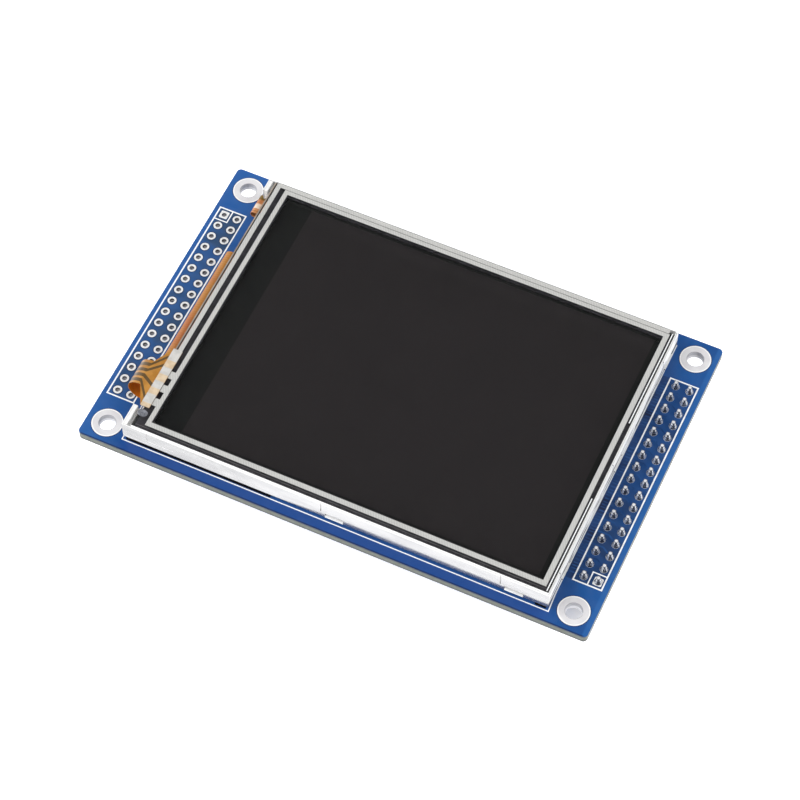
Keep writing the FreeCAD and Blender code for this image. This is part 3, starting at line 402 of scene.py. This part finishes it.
def display_tail():
    """Copper-orange film, more amber towards its ends, with close conductors along its run, and painted
    shadow on its left-facing side.
    """
    look = Look("orange_flex", coat_weight=0.12, coat_roughness=0.25)
    lines = look.step(look.wave((0.0, 1.0, 0.0), 0.5), 0.35, 0.65)
    film = look.tones(5.0, (176, 96, 52), (180, 120, 46), (1.0, 0.7, 1.0))
    ends = look.step(look.math("ABSOLUTE", look.math("ADD", look.y, 1.5)), 5.0, 11.0)
    film = look.mix(ends, film, rgb(184, 124, 50))
    film = look.mix(look.math("MULTIPLY", lines, 0.25), film, rgb(150, 84, 44))
    # The left-facing side is painted dark brown: painted shadow
    look.colour(look.mix(look.step(look.normal_x, -0.75, -0.95), film, rgb(100, 74, 56)))
    look.rough(0.35, 0.5, 1.0)
    return look.bump((lines, 0.008), (look.noise(0.3, 2.0), 0.003))


def diode_flex():
    """The diodes' orange film: an olive fold at its back end, a pale printed field and a few fine lines."""
    look = Look("led_flex", coat_weight=0.2, coat_roughness=0.25)
    film = look.tones(1.2, (188, 118, 68), (214, 148, 96))
    film = look.mix(look.step(look.y, 24.9, 25.3), film, rgb(116, 88, 26))
    worn = look.step(look.noise(1.2, 1.0), 0.2, 0.8)
    pale = look.math("MULTIPLY", look.area(-41.0, -38.0, 23.1, 24.2), worn)
    film = look.mix(pale, film, rgb(244, 226, 206))
    lines = look.step(look.wave((0.0, 1.0, 0.0), 0.62), 0.7, 0.9)
    lines = look.math("MULTIPLY", look.within(look.y, 20.5, 22.9), lines)
    look.colour(look.mix(look.math("MULTIPLY", lines, 0.6), film, rgb(150, 88, 44)))
    look.rough(0.35, 0.5, 1.0)
    return look.bump((look.noise(0.3, 2.0), 0.003))


def bond_seal():
    """Pale cured resin over the flex bond, warmer where the conductors lie under it."""
    look = Look("bond_seal", coat_weight=0.3, coat_roughness=0.2)
    bands = ((-15.5, -14.0), (-18.5, -17.0), (-21.3, -20.0), (-24.0, -23.2))
    warm = look.any_of([look.within(look.y, low, high) for low, high in bands])
    pale = look.tones(0.9, (192, 190, 186), (206, 204, 200))
    look.colour(look.mix(warm, pale, look.tones(0.8, (204, 182, 152), (216, 196, 168))))
    look.rough(0.3, 0.45, 1.0)
    return look.bump((look.noise(1.3, 2.0), 0.02))


def tinned_leads():
    """Tinned metal of leads, ends and lands."""
    look = Look("tinned_leads", metallic=0.85)
    look.colour(look.tones(0.4, (196, 197, 200), (226, 226, 228)))
    look.rough(0.22, 0.38, 0.4)
    return look.bump((look.noise(0.2, 3.0), 0.004))


def mount_ring():
    """Tinned ring: near-white satin, brighter along its outer edge, with faint turning marks."""
    look = Look("mount_ring", metallic=0.12)
    x = look.math("SUBTRACT", look.math("ABSOLUTE", look.x), MOUNT_X)
    y = look.math("SUBTRACT", look.math("ABSOLUTE", look.y), MOUNT_Y)
    radius = look.span(x, y)
    satin = look.tones(2.4, (222, 220, 223), (231, 230, 232))
    satin = look.mix(look.step(radius, 2.45, 2.62), satin, rgb(252, 252, 252))
    turns = look.step(look.wave((0.0, 0.0, 1.0), 0.28), 0.4, 0.6)
    # Down the bore: grey with turning marks, which is painted shade, and paler near the bottom, painted
    # light from the floor below
    bore = look.mix(turns, rgb(138, 138, 144), rgb(182, 182, 187))
    bore = look.mix(look.step(look.z, 0.9, 0.4), bore, rgb(206, 206, 210))
    look.colour(look.mix(look.step(radius, 1.51, 1.56), bore, satin))
    look.rough(0.36, 0.5, 1.2)
    turning = look.math("SINE", look.math("MULTIPLY", radius, 40.0))
    return look.bump((turning, 0.0006), (look.noise(0.5, 3.0), 0.004))


def pad_tin():
    """Tinned pads: white satin on top; down the plated hole, painted shade: grey, and darker at both its
    ends.
    """
    look = Look("pad_tin", metallic=0.15)
    top = look.tones(0.4, (238, 239, 240), (250, 250, 250))
    # The plated hole is painted grey, and darker at both its ends: painted shade
    middle = look.tones(0.3, (172, 170, 172), (206, 204, 206))
    midway = look.math("MULTIPLY", look.step(look.z, 0.3, 0.5), look.step(look.z, 1.2, 1.0))
    inside = look.mix(midway, rgb(80, 78, 81), middle)
    look.colour(look.mix(look.step(look.z, 1.45, 1.6), inside, top))
    look.rough(0.3, 0.45, 0.4)
    return look.bump((look.noise(0.2, 3.0), 0.004))


def painted_highlights(look):
    """Three painted highlights running down each header joint, a little different from one joint to the
    next.
    """
    column, row = look.from_pad()
    turn = look.math("MULTIPLY_ADD", look.math("ARCTAN2", row, column), 3.0, 0.9)
    wander = look.math("MULTIPLY", look.noise(1.1, 1.0), 1.9)
    return look.step(look.math("SINE", look.math("ADD", turn, wander)), -0.1, 0.4)


def solder_metal():
    """Solder: painted highlights where it catches the light, dark runs between, small painted glints, and
    painted shade round its foot.
    """
    look = Look("solder", metallic=0.75)
    tone = look.mix(painted_highlights(look), rgb(74, 79, 90), rgb(244, 245, 247))
    # Small light patches: painted glints
    painted_glints = look.step(look.noise(0.22, 2.0), 0.56, 0.66, 0.0, 0.75)
    tone = look.mix(painted_glints, tone, rgb(214, 216, 220))
    # Darker towards the foot: painted shade
    look.colour(look.mix(look.step(look.z, 1.8, 1.64, 0.0, 0.7), tone, rgb(60, 66, 76)))
    look.rough(0.14, 0.3, 0.3)
    return look.bump((look.noise(0.3, 3.0), 0.03))


def header_metal():
    """Gold flash on the pins, and tin over their upper ends with painted highlights down the sides and on
    the tips.
    """
    look = Look("gold_pins")
    gold = look.tones(0.8, (206, 168, 92), (232, 202, 132))
    # Above the board: painted highlights down the sides, and a painted highlight in the middle of each tip
    # with a grey rim round it
    side = look.mix(painted_highlights(look), rgb(88, 92, 102), rgb(238, 239, 242))
    point = look.step(look.span(*look.from_pad()), 0.32, 0.2)
    end = look.mix(point, rgb(128, 131, 140), look.tones(0.2, (240, 240, 243), (252, 252, 253)))
    tin = look.mix(look.upright(look.normal_z), side, end)
    above = look.step(look.z, 1.4, 1.7)
    look.colour(look.mix(above, gold, tin))
    look.feed(look.shader.inputs["Metallic"], look.math("MULTIPLY_ADD", above, -0.75, 1.0))
    look.rough(0.18, 0.32, 0.5)
    return look.bump((look.noise(0.15, 2.0), 0.003))


def black_foam():
    """Dark foam: grey on top, where it touches the glass, and black on its cut sides."""
    look = Look("black_foam")
    top = look.tones(1.2, (44, 43, 48), (57, 56, 62))
    look.colour(look.mix(look.upright(look.normal_z), rgb(16, 16, 17), top))
    look.rough(0.5, 0.75, 0.8)
    return look.bump((look.noise(0.1, 3.0), 0.015))


def edge_lines():
    """The fine dark and pale lines that the panel's left edge shows through its film."""
    look = Look("edge_lines")
    pale = look.tones(1.5, (142, 130, 118), (170, 158, 146), (1.0, 0.4, 1.0))
    look.colour(look.mix(look.step(look.x, -37.54, -37.48), pale, rgb(44, 38, 36)))
    look.rough(0.4, 0.6)
    return look.bump((look.noise(0.1, 2.0), 0.002))


def white_print():
    """White print, a little thin in places."""
    look = Look("white_print")
    look.colour(look.mix(look.step(look.noise(0.25, 3.0), 0.6, 0.8), rgb(250, 251, 252), rgb(222, 229, 238)))
    look.rough(0.45, 0.6)
    return look.bump((look.noise(0.08, 2.0), 0.002))


LOOKS = {
    "solder_mask": solder_mask(),
    "tinned_copper": mount_ring(),
    "pad_tin": pad_tin(),
    "gold_pins": header_metal(),
    "header_black": mottled("header_black", (20, 20, 21), (30, 30, 31), 0.8, (0.42, 0.6), (0.07, 0.006)),
    "solder": solder_metal(),
    "foam_tape": mottled("foam_tape", (34, 34, 36), (52, 52, 54), 0.3, (0.7, 0.9), (0.12, 0.04)),
    "tray_steel": tray_steel(),
    "white_moulding": white_moulding(),
    "reflector_white": mottled("reflector_white", (236, 237, 238), (246, 247, 248), 3.0, (0.3, 0.45)),
    "clear_acrylic": mottled(
        "clear_acrylic", (206, 212, 214), (226, 231, 232), 3.0, (0.1, 0.2), coat_weight=0.4
    ),
    "led_yellow": mottled("led_yellow", (222, 190, 92), (238, 212, 124), 0.4, (0.3, 0.5)),
    "led_flex": diode_flex(),
    "diffusing_film": mottled("diffusing_film", (222, 223, 224), (238, 239, 240), 2.0, (0.5, 0.7)),
    "prism_film": mottled("prism_film", (196, 200, 204), (216, 220, 223), 2.0, (0.25, 0.4)),
    "black_tape": mottled("black_tape", (20, 20, 21), (30, 30, 32), 1.0, (0.5, 0.7)),
    "polarizer_film": screen(),
    "display_glass": mottled(
        "display_glass", (52, 60, 62), (70, 80, 80), 3.0, (0.08, 0.16), coat_weight=0.6
    ),
    "chip_silicon": mottled("chip_silicon", (58, 60, 68), (78, 80, 90), 1.2, (0.12, 0.2), metallic=0.5),
    "black_foam": black_foam(),
    "touch_panel_glass": clear_sheet("touch_panel_glass", (226, 236, 232), 0.02, 0.002),
    "silver_ink": silver_ink(),
    "touch_film": clear_sheet("touch_film", (236, 240, 244), 0.03, 0.003),
    "amber_flex": touch_tail(),
    "orange_flex": display_tail(),
    "bond_seal": bond_seal(),
    "package_black": mottled("package_black", (24, 24, 25), (36, 36, 37), 0.9, (0.5, 0.7), (0.06, 0.008)),
    "tinned_leads": tinned_leads(),
    "resistor_black": mottled("resistor_black", (22, 22, 24), (34, 34, 36), 0.4, (0.25, 0.4), (0.06, 0.004)),
    "capacitor_tan": mottled(
        "capacitor_tan", (150, 118, 84), (174, 142, 106), 0.4, (0.4, 0.55), (0.06, 0.006)
    ),
    "white_print": white_print(),
    "covered_copper": covered_copper(),
    "clear_resin": mottled(
        "clear_resin", (88, 90, 98), (152, 154, 162), 0.9, (0.1, 0.2), (0.6, 0.04), alpha=0.75
    ),
    "ground_edge": mottled("ground_edge", (240, 241, 240), (250, 250, 250), 1.5, (0.5, 0.7), (0.1, 0.006)),
    "edge_lines": edge_lines(),
    # Jet black, so that the tape's edge also stands for the shade in the gap under the tray
    "tape_black": mottled(
        "tape_black", (4, 5, 8), (9, 10, 14), 0.5, (0.8, 0.95), (0.12, 0.03), specular_ior_level=0.1
    ),
    "grey_print": mottled("grey_print", (74, 72, 74), (88, 86, 88), 2.0, (0.4, 0.6)),
}


def dress_nodes():
    """Gives each carried-over node its material."""
    slots = {part["node"]: part["material_slot"] for part in frame["record"]["subparts"]}
    for name, node in frame["nodes"].items():
        node.data.materials.clear()
        node.data.materials.append(LOOKS[slots[name]].material)


def placed(x, y, z):
    """A point in metres from its millimetres."""
    return (x * MM, y * MM, z * MM)


def circle(x, y, radius, sides=32):
    """Points of a circle, anticlockwise."""
    turns = [math.tau * (step + 0.5) / sides for step in range(sides)]
    return [(x + radius * math.cos(turn), y + radius * math.sin(turn)) for turn in turns]


def square(x, y, half):
    """Points of a square, one for each point of a circle round the same middle."""
    points = []
    for px, py in circle(0.0, 0.0, 1.0):
        reach = half / max(abs(px), abs(py))
        points.append((x + px * reach, y + py * reach))
    return points


def rectangle(x_low, x_high, y_low, y_high):
    """Corners of a rectangle, anticlockwise."""
    return [(x_low, y_low), (x_high, y_low), (x_high, y_high), (x_low, y_high)]


def join_loops(shape, loops):
    """Closes a mesh round a circle of loops with as many points each."""
    count = len(loops[0])
    for below, above in zip(loops, loops[1:] + loops[:1]):
        for step in range(count):
            after = (step + 1) % count
            shape.faces.new((below[step], below[after], above[after], above[step]))


def ring(shape, outer, inner, low, high):
    """A flat ring between two loops with as many points."""
    levels = ((outer, low), (outer, high), (inner, high), (inner, low))
    join_loops(shape, [[shape.verts.new(placed(x, y, z)) for x, y in points] for points, z in levels])


def turned(shape, x, y, profile, sides):
    """A turned form from (radius, height) pairs, closed to itself."""
    loops = []
    for radius, height in profile:
        loops.append([shape.verts.new(placed(px, py, height)) for px, py in circle(x, y, radius, sides)])
    join_loops(shape, loops)


def block(shape, points, low, high):
    """A flat block over a loop of points."""
    floor = [shape.verts.new(placed(x, y, low)) for x, y in points]
    roof = [shape.verts.new(placed(x, y, high)) for x, y in points]
    shape.faces.new(floor)
    shape.faces.new(roof)
    for step in range(len(points)):
        after = (step + 1) % len(points)
        shape.faces.new((floor[step], floor[after], roof[after], roof[step]))


def ribbon(shape, points, width, low, high):
    """A flat strip along a line of points."""
    line = [Vector(point) for point in points]
    left, right = [], []
    for step, point in enumerate(line):
        before = (point - line[step - 1]).normalized() if step else (line[1] - point).normalized()
        after = (line[step + 1] - point).normalized() if step + 1 < len(line) else before
        side = Vector((-(before + after).y, (before + after).x)).normalized()
        reach = width / 2 / max(0.3, side.dot(Vector((-before.y, before.x))))
        left.append(tuple(point + side * reach))
        right.append(tuple(point - side * reach))
    for step in range(len(line) - 1):
        block(shape, [right[step], right[step + 1], left[step + 1], left[step]], low, high)


def piece(name, build, look, smooth=False):
    """A rigid piece of the part from a function that fills its mesh."""
    shape = bmesh.new()
    build(shape)
    bmesh.ops.recalc_face_normals(shape, faces=shape.faces)
    for face in shape.faces:
        face.smooth = smooth
    mesh = bpy.data.meshes.new(name)
    shape.to_mesh(mesh)
    shape.free()
    mesh.materials.append(LOOKS[look].material)
    thing = bpy.data.objects.new(name, mesh)
    bpy.context.scene.collection.objects.link(thing)
    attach(thing, "root")
    return thing


def header_places(middle):
    """Each place of a header pattern, from its front row, as (x, y, column, row)."""
    for row in range(HEADER_ROWS):
        for column in (-1, 1):
            yield middle + column * HEADER_PITCH / 2, FIRST_ROW + row * HEADER_PITCH, column, row


def frame_line(shape, x_low, x_high, y_low, y_high, width, low, high):
    """The outline of a rectangle, given by the middle of its line."""
    half = width / 2
    outer = rectangle(x_low - half, x_high + half, y_low - half, y_high + half)
    inner = rectangle(x_low + half, x_high - half, y_low + half, y_high - half)
    ring(shape, outer, inner, low, high)


def print_top(shape):
    """The outlines of both headers with the box of their first pin, and the display's outline."""
    low, high = BOARD_TOP, BOARD_TOP + PRINT
    left, right = -HEADER_X - 0.1, HEADER_X - 0.15
    for middle in (left, right):
        ends = middle - HEADER_PITCH, middle + HEADER_PITCH
        frame_line(shape, *ends, -HEADER_END, HEADER_END, 0.26, low, high)

    # The first pin's box stands a little prouder, so that it doesn't lie in the outline's own face
    for middle, side, corner, end in ((left, -1, 19.0, HEADER_END), (right, 1, -18.94, -HEADER_END)):
        box = [(middle + side * HEADER_PITCH, corner), (middle, corner), (middle, end)]
        ribbon(shape, box, 0.22, low, high + 0.002)
    display = [(39.2, 28.3), (39.2, -25.0), (39.42, -28.78), (-39.4, -28.78), (-39.4, 28.3), (39.2, 28.3)]
    ribbon(shape, display, 0.2, low, high)


def print_back(shape):
    """The outlines of both headers and of the larger components on the back."""
    half_x, half_y = HEADER_PITCH + 0.2, HEADER_END + 0.2
    for middle in (-HEADER_X, HEADER_X):
        frame_line(shape, middle - half_x, middle + half_x, -half_y, half_y, 0.2, -PRINT, 0.0)
    controller, transistor = (-24.0, -16.0, 5.0, 11.0), (-29.9, -26.1, -15.8, -12.2)
    resistors, capacitors = (-13.5, -10.5, -19.0, -7.0), (-13.5, -10.5, 2.9, 14.1)
    for sides in (controller, transistor, resistors, capacitors):
        frame_line(shape, *sides, 0.15, -PRINT, 0.0)


def pad_outline(x, y, radius, first):
    """A round pad, or the square one of a header's first pin."""
    return square(x, y, FIRST_PAD_HALF) if first else circle(x, y, radius)


def open_pads(shape):
    """Rings on both faces of the open header's holes, and the plating inside them."""
    for x, y, column, row in header_places(-HEADER_X):
        outer = pad_outline(x, y, 0.79, column < 0 and row == HEADER_ROWS - 1)
        hole = circle(x, y, HOLE)
        ring(shape, outer, hole, BOARD_TOP, BOARD_TOP + PROUD_TIN)
        ring(shape, outer, hole, -PROUD_TIN, 0.0)
        ring(shape, circle(x, y, HOLE + PROUD_TIN), hole, 0.0, BOARD_TOP)


def pin_pads(shape):
    """Rings round the soldered pins."""
    for x, y, column, row in header_places(HEADER_X):
        outer = pad_outline(x, y, 0.7, column > 0 and row == 0)
        ring(shape, outer, circle(x, y, 0.5), BOARD_TOP, BOARD_TOP + TIN)


def solder(shape):
    """A hollow-sided cone of solder from each pad up its pin."""
    foot, neck, core, rings = 0.68, 0.38, 0.3, 8
    low, high = BOARD_TOP + 0.05, 2.55
    profile = [(core, BOARD_TOP + TIN), (foot, BOARD_TOP + TIN)]
    for step in range(rings + 1):
        rise = step / rings
        profile.append((neck + (foot - 0.01 - neck) * (1 - rise) ** 1.25, low + (high - low) * rise))
    profile.append((core, high))
    for x, y, _, _ in header_places(HEADER_X):
        turned(shape, x, y, profile, 24)


def covered_traces(shape):
    """Copper under the mask, from the display's right side to the soldered header."""
    low, high = BOARD_TOP, BOARD_TOP + TRACE
    for x, y, column, row in header_places(HEADER_X):
        if column < 0:
            ribbon(shape, [(TRACE_START, y), (x - 0.8, y)], 0.28, low, high)
        elif row < HEADER_ROWS - 1:
            between = y + HEADER_PITCH / 2
            bent = [(TRACE_START, between), (x - 1.7, between), (x - 0.62, between - 0.7)]
            ribbon(shape, bent, 0.28, low, high)
            for short in (between - 0.55, between + 0.55):
                ribbon(shape, [(TRACE_START, short), (TRACE_START + 1.0, short)], 0.2, low, high)


def back_traces(shape):
    """Copper under the mask on the back: short runs from both headers, each to a plated through hole."""
    for middle, inward, start, nearest in ((-HEADER_X, 1, -41.38, -33.5), (HEADER_X, -1, 40.6, 32.0)):
        for _, y, column, row in header_places(middle):
            if column == inward:
                end = nearest + inward * 1.4 * (row % 3)
                ribbon(shape, [(start, y), (end, y)], 0.25, -TRACE, 0.0)
                rim, hole = circle(end, y, VIA_PAD, 16), circle(end, y, VIA_HOLE, 16)
                ring(shape, rim, hole, -TRACE - 0.01, 0.0)


def component_lands(shape):
    """Tinned lands under the ends and leads of the components on the back."""
    ends = [(x, -18.0 + 2.0 * row) for row in range(6) for x in SMALL_PART_ENDS]
    ends += [(x, 4.0 + 3.0 * row) for row in range(4) for x in SMALL_PART_ENDS]
    controller = [(x, 8.0 + 0.65 * (row - 3.5)) for row in range(8) for x in (-23.0, -17.0)]
    transistor = [(-29.0, -14.95), (-29.0, -13.05), (-27.0, -14.0)]
    for places, half_x, half_y in ((ends, 0.4, 0.5), (controller, 0.5, 0.18), (transistor, 0.45, 0.35)):
        for x, y in places:
            block(shape, rectangle(x - half_x, x + half_x, y - half_y, y + half_y), -TIN, 0.0)


def side_glint(shape):
    """A thin white line under the film, beside the silver on the right: a painted glint along the glass's
    edge.
    """
    for front, back in ((-27.9, -8.9), (7.2, 27.0)):
        block(shape, rectangle(38.47, 38.66, front, back), *UNDER_FILM)


def front_line(shape):
    """A faint grey line under the film, beside the silver along the front."""
    block(shape, rectangle(-37.0, 38.2, -27.67, -27.55), *UNDER_FILM)


def left_lines(shape):
    """A pale line and a dark one under the film, outside the silver on the left."""
    block(shape, rectangle(-37.74, -37.28, -11.45, 27.4), *UNDER_FILM)


def ground_edges(shape):
    """The ground rim of the panel's glass, along its front, right and back."""
    left, right, front, back = -37.6, 38.95, -28.145, 27.705
    proud, low, high = 0.03, 5.47, 6.54
    block(shape, rectangle(left, right + proud, front - proud, front), low, high)
    block(shape, rectangle(right, right + proud, front, back), low, high)
    block(shape, rectangle(left, right + proud, back, back + proud), low, high)


def tape_edge_and_shadow(shape):
    """The edge of the foam tape, where it comes out from under the tray's front wall, made jet black so that
    it also stands for the shade in the gap there.
    """
    for left, right, front in ((-38.7, -11.5, -28.54), (36.9, 38.8, -28.46)):
        block(shape, rectangle(left, right, front, -27.5), BOARD_TOP, 2.08)


def resin_dab(shape):
    """A flat drop of clear resin in the film's plane, where the flex bond ends."""
    middle, reach = (-36.8, -25.3, 6.69), (0.95, 0.7, 0.08)
    bmesh.ops.create_uvsphere(shape, u_segments=24, v_segments=12, radius=1.0)
    for vertex in shape.verts:
        vertex.co = placed(*(start + half * part for start, half, part in zip(middle, reach, vertex.co)))


def board_pieces():
    """What is printed, plated and soldered on the board, and the small things on the panel."""
    piece("printed_outlines", print_top, "white_print")
    piece("printed_outlines_back", print_back, "white_print")
    piece("open_header_pads", open_pads, "pad_tin")
    piece("pin_header_pads", pin_pads, "pad_tin")
    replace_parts(piece("solder_fillets", solder, "solder", smooth=True), "solder_joints")
    piece("covered_traces", covered_traces, "covered_copper")
    piece("covered_traces_back", back_traces, "covered_copper")
    piece("component_lands", component_lands, "tinned_leads")
    # A painted glint, in the white print's material
    piece("panel_side_line", side_glint, "white_print")
    piece("panel_front_line", front_line, "grey_print")
    piece("panel_left_lines", left_lines, "edge_lines")
    piece("panel_ground_edges", ground_edges, "ground_edge")
    piece("tape_edge_and_shadow", tape_edge_and_shadow, "tape_black")
    piece("resin_dab", resin_dab, "clear_resin", smooth=True)


def softbox(name, place, size, power):
    """A square soft light that looks at the part."""
    data = bpy.data.lights.new(name, "AREA")
    data.size = size
    data.energy = power
    light = bpy.data.objects.new(name, data)
    light.location = place
    light.rotation_euler = (-light.location).to_track_quat("-Z", "Y").to_euler()
    bpy.context.scene.collection.objects.link(light)


def surroundings(scene):
    """White all round, with one dark soft-edged card overhead that the screen reflects."""
    world = bpy.data.worlds.new("studio")
    world.use_nodes = True
    scene.world = world
    tree = world.node_tree
    background = tree.nodes["Background"]
    direction = tree.nodes.new("ShaderNodeTexCoord").outputs["Generated"]
    dot = tree.nodes.new("ShaderNodeVectorMath")
    dot.operation = "DOT_PRODUCT"
    dot.inputs[1].default_value = Vector((-0.225, 0.478, 0.849)).normalized()
    tree.links.new(direction, dot.inputs[0])
    card = tree.nodes.new("ShaderNodeMapRange")
    card.interpolation_type = "SMOOTHSTEP"
    for socket, number in zip(MAP_LIMITS, (0.83, 0.95, 0.98, 0.05)):
        card.inputs[socket].default_value = number
    tree.links.new(dot.outputs["Value"], card.inputs["Value"])
    tree.links.new(card.outputs["Result"], background.inputs["Strength"])
    background.inputs["Color"].default_value = WHITE


def pale_floor(scene):
    """Bright paper under the pins that glows, and glows less under the board: a painted shadow there."""
    shape = bmesh.new()
    bmesh.ops.create_grid(shape, x_segments=8, y_segments=8, size=4.0)
    mesh = bpy.data.meshes.new("floor")
    shape.to_mesh(mesh)
    shape.free()
    floor = bpy.data.objects.new("floor", mesh)
    floor.location.z = cad_bounds[0][2]
    paper = Look("floor_paper")
    paper.colour(paper.tones(40.0, (250, 250, 250), (253, 253, 253)))
    paper.rough(0.8, 0.95, 30.0)
    paper.shader.inputs["Emission Color"].default_value = WHITE
    # Less glow under the board's footprint: painted shadow
    across = paper.step(paper.math("ABSOLUTE", paper.x), 44.5, 42.5)
    along = paper.math("MULTIPLY", paper.step(paper.y, -26.0, -23.5), paper.step(paper.y, 30.0, 26.0))
    glow = paper.math("MULTIPLY_ADD", paper.math("MULTIPLY", across, along), -0.5, 0.6)
    paper.feed(paper.shader.inputs["Emission Strength"], glow)
    mesh.materials.append(paper.material)
    scene.collection.objects.link(floor)


def viewpoint(scene):
    """The camera at the photographed angle."""
    data = bpy.data.cameras.new("camera")
    data.lens = 124.07
    data.sensor_width = 36.0
    data.clip_start = 0.01
    camera = bpy.data.objects.new("camera", data)
    right = Vector((0.90739, 0.42027, -0.00372))
    up = Vector((-0.35500, 0.77115, 0.52849))
    back = Vector((0.22497, -0.47823, 0.84893))
    place = Vector((0.10663, -0.22804, 0.40296))
    turn = Matrix((right, up, back)).transposed().to_4x4()
    camera.matrix_world = Matrix.Translation(place) @ turn
    scene.collection.objects.link(camera)
    scene.camera = camera


def studio():
    """Floor, light and camera."""
    scene = bpy.context.scene
    scene.view_settings.view_transform = "Standard"
    scene.view_settings.look = "None"
    surroundings(scene)
    pale_floor(scene)
    softbox("key_left", (-0.42, -0.22, 0.42), 0.45, 1.9)
    softbox("fill_right", (0.5, 0.05, 0.35), 0.5, 0.8)
    viewpoint(scene)


dress_nodes()
board_pieces()
studio()
